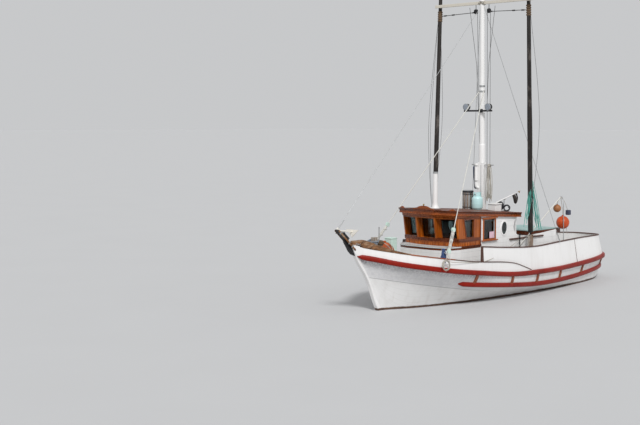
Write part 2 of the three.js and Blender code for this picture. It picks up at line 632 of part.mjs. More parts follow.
// Roof, with a bowed front edge and a little camber
const roofPlanX = (y) => (
  ROOF.front + ROOF.bow * Math.min(1, (ROOF.half - Math.abs(y)) / (ROOF.half - HOUSE.facetY)));
function roofForm() {
  const across = [-1, -0.66, -0.33, 0, 0.33, 0.66, 1].map((part) => part * ROOF.half);
  const section = (share) => {
    const top = across.map((y) => {
      const x = ROOF.aft + share * (roofPlanX(y) - ROOF.aft);
      return [x, y, roofTop(x) + ROOF.camber * (1 - (y / ROOF.half) ** 2)];
    });
    const under = across.map((y) => {
      const x = ROOF.aft + share * (roofPlanX(y) - ROOF.aft);
      return [x, y, roofTop(x) - ROOF.thick];
    }).reverse();
    return [...top, ...under];
  };
  return loft([0, 0.5, 1].map(section));
}
place('wheelhouse_roof', roofForm(), 'white', 0.5);

const fasciaLine = bothSides([[ROOF.aft, ROOF.half + GAP], [ROOF.front + 2 * GAP, ROOF.half + GAP],
  [ROOF.front + ROOF.bow + GAP, HOUSE.facetY]]).map(([x, y]) => [x, y, roofTop(x)]);
const fascia = strip(fasciaLine, outward(fasciaLine).map(([x, y]) => [-x, -y]), ([, , z]) => {
  const [low, high] = [z - FASCIA.below, z + FASCIA.above];
  return [[0, low], [0, high], [FASCIA.thick, high], [FASCIA.thick, low]];
});
const CREST = { z: 2419, half: 330, rise: [[330, 2], [250, 14], [150, 58], [60, 92]] };
const crestEdge = CREST.rise.map(([y, up]) => [y, CREST.z + up]);
const crestX = ROOF.front + ROOF.bow + GAP;
const crest = crossPlate([[-CREST.half, CREST.z - 70], [CREST.half, CREST.z - 70], ...crestEdge,
  ...crestEdge.map(([y, z]) => [-y, z]).reverse()], crestX, crestX + FASCIA.thick);
place('roof_fascia', join(fascia, crest), 'varnish', 0.35);

// Hatch over the hold, with its lid hinged on the starboard edge
const HATCH = { aft: -2250, fore: -860, half: 640, wall: 36, top: 1600, lid: 45, lip: 30 };
const coaming = planPlate(bothSides([[HATCH.aft, HATCH.half], [HATCH.fore, HATCH.half]]), 500, HATCH.top);
const well = box([HATCH.aft + HATCH.wall, -HATCH.half + HATCH.wall, 400],
  [HATCH.fore - HATCH.wall, HATCH.half - HATCH.wall, HATCH.top + 50]);
const LID_PIN = { y: -692, z: 1590, radius: 6, barrel: 14, half: 35, at: [-1950, -1160] };
const onLidPin = (low, high, radius) => (
  rod([low, LID_PIN.y, LID_PIN.z], [high, LID_PIN.y, LID_PIN.z], radius, PIN_SIDES));
const lidLugs = LID_PIN.at.map((x) => join(
  onLidPin(x - LID_PIN.half, x + LID_PIN.half, LID_PIN.barrel),
  onLidPin(x, x + 3 * LID_PIN.half, LID_PIN.radius),
  box([x - LID_PIN.half, LID_PIN.y, LID_PIN.z - LID_PIN.barrel],
    [x + LID_PIN.half, -HATCH.half + 5, LID_PIN.z + 5])));
place('hatch_coaming', join(cut(coaming, well, underDeck), ...lidLugs), 'white', 0.5);
const lidKnuckles = LID_PIN.at.map((x) => {
  const from = x + LID_PIN.half + GAP;
  const to = x + 3 * LID_PIN.half + 6;
  return cut(join(onLidPin(from, to, LID_PIN.barrel),
    box([from, LID_PIN.y - 8, LID_PIN.z + 5], [to, -HATCH.half - HATCH.lip + 5, HATCH.top + HATCH.lid])),
  onLidPin(from - 5, to - 4, boreFor(LID_PIN.radius, PIN_SIDES)));
});
const lidTop = box([HATCH.aft - HATCH.lip, -HATCH.half - HATCH.lip, HATCH.top + GAP],
  [HATCH.fore + HATCH.lip, HATCH.half + HATCH.lip, HATCH.top + GAP + HATCH.lid]);
place('hatch_lid', join(lidTop, ...lidKnuckles), 'green', 0.7);

// Mast in its box, crosstree, lamp bar
const mastAt = (z) => [MAST.x + (MAST.rake * (z - MAST.boxTop)) / (MAST.top - MAST.boxTop), 0, z];
const mastForm = (grow) => rod(
  mastAt(MAST.boxTop - 40), mastAt(MAST.top + 40), MAST.radius + grow, 16, MAST.topRadius + grow);
const slice = (low, high) => box([-900, -900, low], [1900, 900, high]);
place('mast', cut(mastForm(0), slice(2000, MAST.boxTop + GAP), slice(MAST.top, 9000)), 'white', 0.4);
const mastCutter = mastForm(GAP);
const onRoof = roofForm().translate(0, 0, GAP);
const boxHalf = MAST.box / 2;
const mastBox = box([MAST.x - boxHalf, -boxHalf, 2100], [MAST.x + boxHalf, boxHalf, MAST.boxTop]);
const underRoofTop = join(onRoof, onRoof.clone().translate(0, 0, -40), onRoof.clone().translate(0, 0, -80));
place('mast_box', cut(mastBox, underRoofTop), 'white', 0.45);
place('crosstree', box([CROSSTREE.x - CROSSTREE.wide / 2, -CROSSTREE.half, MAST.top + GAP],
  [CROSSTREE.x + CROSSTREE.wide / 2, CROSSTREE.half, MAST.top + GAP + CROSSTREE.high]), 'steel', 0.6);

// Lamps on a bar ahead of the mast
const barLow = LAMP_BAR.z - LAMP_BAR.thick / 2;
const lampBar = join(
  box([LAMP_BAR.x, LAMP_BAR.from, barLow],
    [LAMP_BAR.x + LAMP_BAR.thick, LAMP_BAR.to, barLow + LAMP_BAR.thick]),
  cut(box([530, -55, barLow - 25], [LAMP_BAR.x + 5, 55, barLow + LAMP_BAR.thick + 25]), mastCutter),
  ...LAMP_BAR.lamps.map((y) => turned(
    [LAMP_BAR.x - 60, y, LAMP_BAR.z + 110], [LAMP_BAR.x + 90, y, LAMP_BAR.z + 95],
    [[0, 0], [0, 40], [40, 85], [120, 95], [140, 95], [140, 0]], 14)),
  ...LAMP_BAR.lamps.map((y) => (
    rod([LAMP_BAR.x + 25, y, LAMP_BAR.z], [LAMP_BAR.x + 25, y, LAMP_BAR.z + 90], 14, 8))));
place('lamp_bar', lampBar, 'black', 0.5, 0.4);

// Trolling poles, and the posts on deck that carry their feet
const FORK = { gap: 28, half: 50, above: 26, yLow: 1095, yHigh: 1210, slot: 42, pin: 11 };
for (const [side, { foot, pass }] of Object.entries(POLES)) {
  const from = new THREE.Vector3(...foot);
  const way = new THREE.Vector3(...pass).sub(from).normalize();
  const at = (distance) => from.clone().addScaledVector(way, distance).toArray();
  const [x, y, z] = foot;
  const pinOf = (half, side2, radius) => rod([x - half, side2, z], [x + half, side2, z], radius, PIN_SIDES);
  const spar = turned(at(90), at(POLE.length), [
    [0, 0], [0, POLE.footRadius], [POLE.length * 0.6, POLE.midRadius],
    [POLE.length - 90, POLE.tipRadius], [POLE.length - 90, 0]], 12);
  const pole = join(rod(at(-22), at(160), 22, 10), spar, pinOf(FORK.half - 4, y, FORK.pin));
  place(`pole_${side}`, pole, 'pole', 0.7);
  const post = box([x - FORK.half, FORK.yLow, 400], [x + FORK.half, FORK.yHigh, z + FORK.above]);
  const slot = box([x - FORK.gap, FORK.yLow - 20, z - FORK.slot], [x + FORK.gap, FORK.yHigh + 20, z + 100]);
  const bore = pinOf(FORK.half + 20, Math.abs(y), boreFor(FORK.pin, PIN_SIDES));
  const standing = cut(post, slot, underDeck, bore);
  place(`pole_post_${side}`, side === 'port' ? standing : mirrored(standing), 'varnish', 0.6);
}

// Main shrouds from the mast to straps on the bulwarks
const SHROUD = { top: [527, 30, 5520], foot: [3600, 1290, 1315], radius: 12 };
const strapZ = levelAt(EDGE, SHROUD.foot[0])[1] + RAIL.half + 12;
const strapLine = stretchOf(EDGE_LINE, EDGE_OUT, SHROUD.foot[0] + 30, SHROUD.foot[0] - 30);
const strap = strip(...strapLine, () => [[GAP, strapZ], [GAP, 1300], [GAP + 9, 1300], [GAP + 9, strapZ]]);
const shroudEye = box([SHROUD.foot[0] - 12, SHROUD.foot[1] - 60, 1286],
  [SHROUD.foot[0] + 12, SHROUD.foot[1] + 10, 1335]);
const shroud = join(
  cut(rod(SHROUD.top, SHROUD.foot, SHROUD.radius, 6), mastCutter), strap,
  cut(shroudEye, besideOn(stretchOf(EDGE_LINE, EDGE_OUT, 3800, 3300))));
place('shroud_port', shroud, 'rope', 0.8);
place('shroud_stbd', mirrored(shroud), 'rope', 0.8);

// What stands on the roof: round things by [height over the roof, radius], then a locker
const ROOF_THINGS = [
  ['exhaust_stack', 2200, -240, 'white', [[0, 118], [60, 85], [180, 66], [960, 62]]],
  ['gas_bottle', 920, 165, 'aqua', [
    [0, 105], [30, 105], [45, 148], [310, 148], [365, 110], [375, 85], [475, 85]]],
  ['stove_flue', 950, -130, 'steel', [[0, 135], [480, 135], [480, 150], [515, 150]]],
];
for (const [name, x, y, colour, rows] of ROOF_THINGS) {
  const sunk = 90;
  const last = rows[rows.length - 1];
  const z = roofTop(x) + ROOF.camber;
  const profile = [[0, 0], [0, rows[0][1]], ...rows.map(([h, r]) => [h + sunk, r]), [last[0] + sunk, 0]];
  place(name, cut(turned([x, y, z - sunk], [x, y, z], profile, 16), underRoofTop), colour, 0.5);
}
const ROOF_LOCKER = { low: [360, 320, 2180], high: [640, 560, 2470] };
place('roof_locker', cut(box(ROOF_LOCKER.low, ROOF_LOCKER.high), underRoofTop), 'white', 0.6);

// Bow roller on its bracket ahead of the stem, and the anchor in it
const ROLLER = { from: [5600, 0, 1553], to: [6199, 0, 2077], half: 62, thick: 28 };
const CHEEK = { thick: 13, aft: 420, fore: 170, low: 10, high: 100 };
const GUSSET = { half: 24, outline: [[5560, 1420], [5700, 1470], [5790, 1545], [5960, 1790], [5960, 1880],
  [5600, 1565]] };
const [rollerRun, , rollerRise] = ROLLER.to.map((value, i) => value - ROLLER.from[i]);
const rollerLength = Math.hypot(rollerRun, rollerRise);
const slanted = (geometry) => (
  geometry.rotateY(-Math.atan2(rollerRise, rollerRun)).translate(...ROLLER.from));
const portCheek = box([rollerLength - CHEEK.aft, ROLLER.half - CHEEK.thick, CHEEK.low],
  [rollerLength - CHEEK.fore, ROLLER.half, CHEEK.high]);
const chute = box([0, -ROLLER.half, 0], [rollerLength, ROLLER.half, ROLLER.thick]);
const gusset = sidePlate(GUSSET.outline, -GUSSET.half, GUSSET.half);
const stemFace = stemCutter.clone().translate(GAP, 0, GAP);
place('bow_roller', cut(join(slanted(join(chute, portCheek, mirrored(portCheek))), gusset),
  stemCutter, stemFace), 'black', 0.6);
const ANCHOR = {
  crown: [6125, 0, 2073], rod: 17, shankFrom: 250, shankHalf: 14, shankTop: 74, shankOver: 30,
  palmX: 5660, palmThick: 20, palmHalf: 200, palmTop: 2072, palmLow: 1885, palmEye: 2022,
};
const shank = slanted(box([ANCHOR.shankFrom, -ANCHOR.shankHalf, ROLLER.thick + GAP],
  [rollerLength + ANCHOR.shankOver, ANCHOR.shankHalf, ANCHOR.shankTop]));
const palm = crossPlate(
  [[-ANCHOR.palmHalf, ANCHOR.palmTop], [0, ANCHOR.palmLow], [ANCHOR.palmHalf, ANCHOR.palmTop]],
  ANCHOR.palmX - ANCHOR.palmThick / 2, ANCHOR.palmX + ANCHOR.palmThick / 2);
const crownRod = rod(ANCHOR.crown, [ANCHOR.palmX, 0, ANCHOR.palmEye], ANCHOR.rod, 8);
place('anchor', join(shank, crownRod, palm), 'steel', 0.5, 0.6);

// What lies on the foredeck
const BUOY = { at: [4215, -240], radius: 255 };
const buoyZ = levelAt(EDGE, BUOY.at[0])[1] + DECK.thick + BUOY.radius - 12;
const buoy = new THREE.IcosahedronGeometry(BUOY.radius, 2).translate(...BUOY.at, buoyZ);
place('buoy', cut(buoy, underDeck), 'orange', 0.5);
const DECK_LOCKER = { low: [3618, -560, 800], high: [3840, -338, 1700] };
place('deck_locker', cut(box(DECK_LOCKER.low, DECK_LOCKER.high), underDeck), 'green', 0.6);

// Propeller and its shaft
function blade(turn) {
  const sections = [[30, 80, 62, 14], [130, 150, 40, 12], [230, 170, 28, 10], [288, 90, 22, 7]];
  const geometry = loft(sections.map(([radius, chord, pitch, thick]) => {
    const angle = THREE.MathUtils.degToRad(pitch);
    const [c, s] = [Math.cos(angle), Math.sin(angle)];
    return [[-1, -1], [1, -1], [1, 1], [-1, 1]].map(([i, j]) => {
      const [u, v] = [(i * chord) / 2, (j * thick) / 2];
      return [u * s + v * c, u * c - v * s, radius];
    });
  }));
  return geometry.rotateX(turn);
}
const shaftLine = (x) => [x, 0, 0];
const propeller = join(
  turned(shaftLine(-90), shaftLine(80), [
    [0, 0], [0, 22], [40, 52], [150, PROPELLER.hub], [170, PROPELLER.hub], [170, 0]], 14),
  rod(shaftLine(60), shaftLine(PROPELLER.shaftEnd - PROPELLER.x), PROPELLER.shaft, ROUND),
  ...[0, 1, 2].map((i) => blade((i * 2 * Math.PI) / PROPELLER.blades)));
place('propeller', propeller.translate(PROPELLER.x, 0, PROPELLER.z), 'bronze', 0.35, 0.9);

// Rudder on its stock
const rudderBlade = sidePlate(
  [[-4500, -985], [-4900, -985], [-5010, -900], [-5010, -480], [-4900, -230], [-4500, -230]],
  -RUDDER.thick / 2, RUDDER.thick / 2);
const pintle = upright(RUDDER.heel, RUDDER.shoeTop + 40, RUDDER.pintle);
const stock = upright(RUDDER.shoeTop + 20, RUDDER.stockTop, RUDDER.stockRadius);
place('rudder', join(rudderBlade, stock, pintle), 'copper', 0.7);

// Helm inside the wheelhouse
const HELM = { x: 2180, y: 330, z: 1560, radius: 240 };
const helmColumn = join(box([HELM.x, HELM.y - 70, 500], [HELM.x + 120, HELM.y + 70, HELM.z + 90]),
  box([HELM.x, HELM.y - 330, HELM.z + 60], [HELM.x + 150, HELM.y + 330, HELM.z + 90]));
place('helm_column', cut(helmColumn, underDeck), 'varnish', 0.5);
const wheelAt = [HELM.x - 60, HELM.y, HELM.z - 60];
const wheelRim = new THREE.TorusGeometry(HELM.radius, 14, 6, 24).rotateY(Math.PI / 2).translate(...wheelAt);
const spokes = Array.from({ length: 3 }, (_, i) => {
  const angle = (i * Math.PI) / 3;
  const [c, s] = [Math.cos(angle) * (HELM.radius + 70), Math.sin(angle) * (HELM.radius + 70)];
  const end = (side) => [wheelAt[0], wheelAt[1] + side * c, wheelAt[2] + side * s];
  return rod(end(-1), end(1), 11, 6);
});
const hub = rod([wheelAt[0] - 25, wheelAt[1], wheelAt[2]], [HELM.x - GAP, wheelAt[1], wheelAt[2]], 34, 12);
place('helm_wheel', join(wheelRim, ...spokes, hub), 'varnish', 0.4);

export default fishingBoat;
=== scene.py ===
import math
import random

import bmesh
import bpy
from mathutils import Matrix, Vector
from mathutils.geometry import tessellate_polygon


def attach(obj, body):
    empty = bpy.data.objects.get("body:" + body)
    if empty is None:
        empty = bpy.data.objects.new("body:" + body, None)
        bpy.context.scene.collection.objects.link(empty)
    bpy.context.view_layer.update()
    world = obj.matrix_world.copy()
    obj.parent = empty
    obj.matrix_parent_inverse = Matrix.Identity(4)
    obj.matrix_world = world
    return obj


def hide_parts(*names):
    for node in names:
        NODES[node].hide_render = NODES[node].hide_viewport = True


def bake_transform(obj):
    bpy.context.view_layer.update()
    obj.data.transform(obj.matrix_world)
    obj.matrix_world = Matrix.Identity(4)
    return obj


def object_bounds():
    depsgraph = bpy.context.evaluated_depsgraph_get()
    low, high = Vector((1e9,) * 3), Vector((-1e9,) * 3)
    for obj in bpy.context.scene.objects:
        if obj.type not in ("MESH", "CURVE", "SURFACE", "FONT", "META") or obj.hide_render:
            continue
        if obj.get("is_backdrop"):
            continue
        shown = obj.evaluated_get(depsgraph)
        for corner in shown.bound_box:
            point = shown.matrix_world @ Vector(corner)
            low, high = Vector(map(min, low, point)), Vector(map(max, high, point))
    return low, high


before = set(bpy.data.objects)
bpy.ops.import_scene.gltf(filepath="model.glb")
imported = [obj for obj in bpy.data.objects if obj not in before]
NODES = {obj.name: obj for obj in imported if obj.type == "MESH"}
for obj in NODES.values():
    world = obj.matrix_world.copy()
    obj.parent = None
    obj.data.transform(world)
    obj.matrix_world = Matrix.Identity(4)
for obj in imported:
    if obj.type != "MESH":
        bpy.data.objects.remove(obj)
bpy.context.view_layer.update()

random.seed(11)

# A wooden inshore fishing boat. Metres; +X is the bow, +Y is port, +Z is up, the waterline is z = 0.

MM = 0.001
SIDES = (("port", 1), ("stbd", -1))


def metres(table):
    return [[value * MM for value in row] for row in table]


# Hull stations: x, keel z, then half-breadth and height of bilge, waterline, lower rail, deck edge
STATIONS = metres([
    [5430, 1290, 62, 1310, 64, 1335, 70, 1360, 80, 1390],
    [5150, 900, 70, 950, 100, 1020, 180, 1150, 310, 1325],
    [4700, 100, 75, 200, 130, 400, 340, 800, 690, 1205],
    [4050, -480, 150, -250, 290, 0, 700, 680, 1090, 1080],
    [3300, -640, 330, -430, 530, 0, 1010, 640, 1300, 960],
    [2500, -700, 500, -490, 700, 0, 1240, 545, 1395, 858],
    [1000, -720, 620, -510, 850, 0, 1320, 400, 1410, 690],
    [-250, -710, 660, -500, 910, 0, 1260, 305, 1355, 635],
    [-1500, -680, 650, -480, 920, 0, 1160, 280, 1255, 620],
    [-2900, -590, 560, -400, 850, 0, 960, 295, 1070, 632],
    [-3900, -400, 400, -250, 700, 0, 790, 335, 900, 655],
    [-4500, -150, 260, -60, 540, 60, 620, 370, 740, 680],
    [-4850, 60, 150, 100, 300, 180, 400, 400, 520, 690],
    [-4990, 260, 62, 290, 110, 360, 150, 440, 230, 700],
])
KEEL_HALF = 0.055
# Steps between the corners of a section, and its points at the lower rail and the deck edge
FINE = 4
LOWER, EDGE = 3 * FINE, 4 * FINE

# Bulwark tops: x and height, and for the high ones how far they lean in
LOW_TOP = metres([
    [5430, 1625], [5150, 1555], [4700, 1460], [4050, 1350], [3300, 1240], [2500, 1130], [1000, 980],
    [100, 720]])
HIGH_TOP = metres([
    [2200, 1480, 40], [1000, 1375, 50], [-250, 1305, 60], [-1500, 1330, 80], [-2900, 1330, 120],
    [-3900, 1310, 130], [-4500, 1290, 130], [-5010, 1270, 130]])
# The backbone in side view: x and height down the stem, round the heel and back inside the hull
STEM = metres([
    [5720, 1705], [5660, 1580], [5480, 1250], [5230, 930], [5050, 620], [4940, 360], [4840, 150],
    [4750, 0], [4560, -300], [4300, -560], [3900, -760], [3400, -860]])
HEEL = metres([[-4840, -1070], [-4840, -1000], [-4110, -1000], [-4110, -200]])
INSIDE = metres([
    [-3500, -300], [3300, -300], [4150, -100], [4750, 700], [5200, 1180], [5400, 1380], [5440, 1660]])
RAIL_AFT = -4.675
STRUTS = [2.5, 1.0, -0.24, -1.5, -2.95, -4.48]
HOUSE_HALF, SILL_X, SILL_Z, RAKE, FACET_Y = 0.9, 2.61, 1.49, 0.17, 0.305


# Curves

def slope(table, k, column):
    before, after = table[max(k - 1, 0)], table[min(k + 1, len(table) - 1)]
    return (after[column] - before[column]) / (after[0] - before[0])


def along(table, x, column=1):
    """Smooth value of a column of a table at a station; the stations run from high to low."""
    if x >= table[0][0]:
        return table[0][column]
    if x <= table[-1][0]:
        return table[-1][column]
    i = next(k for k, row in enumerate(table) if row[0] <= x) - 1
    span = table[i + 1][0] - table[i][0]
    t = (x - table[i][0]) / span
    a, b = table[i][column], table[i + 1][column]
    rise = slope(table, i, column) * t * (1 - t) ** 2 - slope(table, i + 1, column) * t * t * (1 - t)
    return a + (b - a) * t * t * (3 - 2 * t) + span * rise


def curve(points, steps, closed=False):
    """Smooth line through points, with so many steps from each to the next."""
    rows = [Vector(p) for p in points]
    count = len(rows)
    made = []
    for i in range(count if closed else count - 1):
        if closed:
            o, p, q, r = (rows[(i + k) % count] for k in (-1, 0, 1, 2))
        else:
            p, q = rows[i], rows[i + 1]
            o, r = rows[max(i - 1, 0)], rows[min(i + 2, count - 1)]
        for step in range(steps):
            t = step / steps
            made.append(
                0.5 * ((2 * p) + (q - o) * t + (2 * o - 5 * p + 4 * q - r) * t * t
                       + (3 * p - o - 3 * q + r) * t ** 3))
    if not closed:
        made.append(rows[-1])
    return made


def lerp(a, b, t):
    return a + (b - a) * t


def angles(count):
    return [2 * math.pi * i / count for i in range(count)]


# Shapes: lists of points and faces, and the surface coordinates of the faces' corners where they have any

class Shape:
    def __init__(self, points=(), faces=(), sheets=None):
        self.points = [Vector(p) for p in points]
        self.faces = [tuple(f) for f in faces]
        self.sheets = sheets or [None] * len(self.faces)

    def __add__(self, other):
        first = len(self.points)
        faces = self.faces + [tuple(i + first for i in f) for f in other.faces]
        return Shape(self.points + other.points, faces, self.sheets + other.sheets)

    def moved(self, matrix):
        flip = matrix.determinant() < 0
        faces = [f[::-1] for f in self.faces] if flip else self.faces
        sheets = [s[::-1] if s and flip else s for s in self.sheets]
        return Shape([matrix @ p for p in self.points], faces, sheets)

    def mirrored(self):
        return self.moved(Matrix.Diagonal((1, -1, 1, 1)))


def join(shapes):
    whole = Shape()
    for shape in shapes:
        whole = whole + shape
    return whole


def loft(rings, around=True, capped=True, gauge=0):
    """Skin over rings; its surface coordinates are metres along the rings and round one of them."""
    count = len(rings[0])
    points = [p for ring in rings for p in ring]
    faces, sheets = [], []
    run = [0.0]
    for a, b in zip(rings, rings[1:]):
        run.append(run[-1] + max((Vector(p) - Vector(q)).length for p, q in zip(a, b)))
    girth = [0.0]
    for i in range(count):
        girth.append(girth[-1] + (Vector(rings[gauge][i]) - Vector(rings[gauge][(i + 1) % count])).length)
    for r in range(len(rings) - 1):
        for i in range(count if around else count - 1):
            j = (i + 1) % count
            faces.append((r * count + i, r * count + j, (r + 1) * count + j, (r + 1) * count + i))
            sheets.append([
                (run[r], girth[i]), (run[r], girth[i + 1]), (run[r + 1], girth[i + 1]),
                (run[r + 1], girth[i])])
    if capped and around:
        last = (len(rings) - 1) * count
        faces += [tuple(range(count))[::-1], tuple(range(last, last + count))]
        sheets += [None, None]
    return Shape(points, faces, sheets)


def box(low, high):
    (a, b, c), (d, e, f) = low, high
    points = [(x, y, z) for x in (a, d) for y in (b, e) for z in (c, f)]
    return Shape(points, [(0, 1, 3, 2), (4, 6, 7, 5), (0, 4, 5, 1), (2, 3, 7, 6), (0, 2, 6, 4), (1, 5, 7, 3)])


def frame_of(way):
    """Two directions across a third."""
    way = Vector(way).normalized()
    side = way.cross((0, 0, 1)) if abs(way.z) < 0.95 else way.cross((1, 0, 0))
    side.normalize()
    return side, side.cross(way)


def turned(start, way, rows, sides=32):
    """Turned piece from a point along a direction; rows are (distance, radius)."""
    start, way = Vector(start), Vector(way).normalized()
    u, v = frame_of(way)
    rings = [[start + way * d + (u * math.cos(a) + v * math.sin(a)) * max(r, 1e-4) for a in angles(sides)]
             for d, r in rows]
    return loft(rings)


def upright(start, rows, sides=32):
    return turned(start, (0, 0, 1), rows, sides)


def rod(a, b, radius, sides=16):
    way = Vector(b) - Vector(a)
    return turned(a, way, [(0, radius), (way.length, radius)], sides)


def tube(line, radius, sides=8, closed=False):
    """Round piece along a line; radius may be a function of the share of the way."""
    rows = [Vector(p) for p in line]
    count = len(rows)
    width = radius if callable(radius) else lambda share: radius
    up = None
    rings = []
    for i, p in enumerate(rows):
        if closed:
            way = rows[(i + 1) % count] - rows[i - 1]
        else:
            way = rows[min(i + 1, count - 1)] - rows[max(i - 1, 0)]
        way.normalize()
        if up is None:
            up = frame_of(way)[1]
        side = way.cross(up).normalized()
        up = side.cross(way).normalized()
        r = width(i / max(count - 1, 1))
        rings.append([p + (side * math.cos(a) + up * math.sin(a)) * r for a in angles(sides)])
    if closed:
        rings.append(rings[0])
    return loft(rings, capped=not closed)


def bent(points, steps, radius, sides=8):
    """Round piece along the smooth line through points."""
    return tube(curve(points, steps), radius, sides)


def sagging(a, b, drop, steps):
    a, b = Vector(a), Vector(b)
    return [a.lerp(b, i / steps) - Vector((0, 0, 4 * drop * (i / steps) * (1 - i / steps)))
            for i in range(steps + 1)]


def coil(centre, radius, turns, thick, rise, way, loose=0.06):
    """Rope laid round and round, unevenly, and rising along a direction."""
    steps = 28
    u, v = frame_of(way)
    up = Vector(way).normalized()
    line = []
    for i in range(int(turns * steps) + 1):
        angle = 2 * math.pi * i / steps
        turn = i / steps
        r = radius * (1 + loose * math.sin(2.3 * turn + 1.0) + 0.03 * math.sin(5.1 * angle))
        level = rise * turn / turns + 0.35 * thick * math.sin(3.7 * turn)
        line.append(Vector(centre) + (u * math.cos(angle) + v * math.sin(angle)) * r + up * level)
    return tube(line, thick, 7)


def plate(outline, low, high, axes):
    """Flat piece between two levels; axes are the outline's two directions and that of the levels."""
    a, b, c = (Vector(axis) for axis in axes)
    count = len(outline)
    triangles = tessellate_polygon([[Vector((u, v, 0)) for u, v in outline]])
    points = [a * u + b * v + c * level for level in (low, high) for u, v in outline]
    faces = [tuple(t) for t in triangles] + [tuple(i + count for i in t[::-1]) for t in triangles]
    for i in range(count):
        j = (i + 1) % count
        faces.append((i, j, j + count, i + count))
    return Shape(points, faces)


# Axes of a plate that stands along the boat, stands across it, or lies flat
SIDE = ((1, 0, 0), (0, 0, 1), (0, 1, 0))
ACROSS = ((0, 1, 0), (0, 0, 1), (1, 0, 0))
PLAN = ((1, 0, 0), (0, 1, 0), (0, 0, 1))


def moulding(outline, normal, section):
    """Strip round a flat outline; section gives (outwards, along the normal) corners."""
    rows = [Vector(p) for p in outline]
    normal = Vector(normal)
    rings = []
    for i, p in enumerate(rows):
        a = (p - rows[i - 1]).normalized()
        b = (rows[(i + 1) % len(rows)] - p).normalized()
        way = (a + b).normalized()
        out = way.cross(normal).normalized() / max(0.5, way.dot(a))
        rings.append([p + out * u + normal * v for u, v in section])
    return loft([*rings, rings[0]], capped=False)


# Edges sharper than this are softened, in radians; nearer points than this are one, in metres
BEVEL_FROM = math.radians(32)
SAME_POINT = 1e-5


def make(name, shape, look, body="root", stands_for=(), sharp=38, edge=0.0):
    """A piece of the scene from a shape."""
    mesh = bpy.data.meshes.new(name)
    mesh.from_pydata([tuple(p) for p in shape.points], [], shape.faces)
    if any(shape.sheets):
        layer = mesh.uv_layers.new(name="run")
        for polygon, sheet in zip(mesh.polygons, shape.sheets):
            for k, corner in enumerate(polygon.loop_indices):
                layer.data[corner].uv = sheet[k] if sheet else (0, 0)
    tidy = bmesh.new()
    tidy.from_mesh(mesh)
    bmesh.ops.remove_doubles(tidy, verts=tidy.verts, dist=SAME_POINT)
    bmesh.ops.recalc_face_normals(tidy, faces=tidy.faces)
    tidy.to_mesh(mesh)
    tidy.free()
    mesh.shade_smooth()
    mesh.set_sharp_from_angle(angle=math.radians(sharp))
    made = bpy.data.objects.new(name, mesh)
    bpy.context.scene.collection.objects.link(made)
    mesh.materials.append(look)
    if edge:
        rounded(made, edge)
    if body:
        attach(made, body)
    if stands_for:
        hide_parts(*stands_for)
    return made


def rounded(made, width):
    bevel = made.modifiers.new("edge", "BEVEL")
    bevel.width = width
    bevel.segments = 2
    bevel.limit_method = "ANGLE"
    bevel.angle_limit = BEVEL_FROM
    bevel.harden_normals = False
    weighted = made.modifiers.new("shade", "WEIGHTED_NORMAL")
    weighted.weight = 80


def dress(name, look, edge):
    """Gives a CAD node its look and softens its edges."""
    node = NODES[name]
    node.data.materials.clear()
    node.data.materials.append(look)
    if edge:
        weld = node.modifiers.new("weld", "WELD")
        weld.merge_threshold = 2 * SAME_POINT
        plain = node.modifiers.new("plain", "DECIMATE")
        plain.decimate_type = "DISSOLVE"
        plain.angle_limit = math.radians(0.6)
        rounded(node, edge)


# Looks

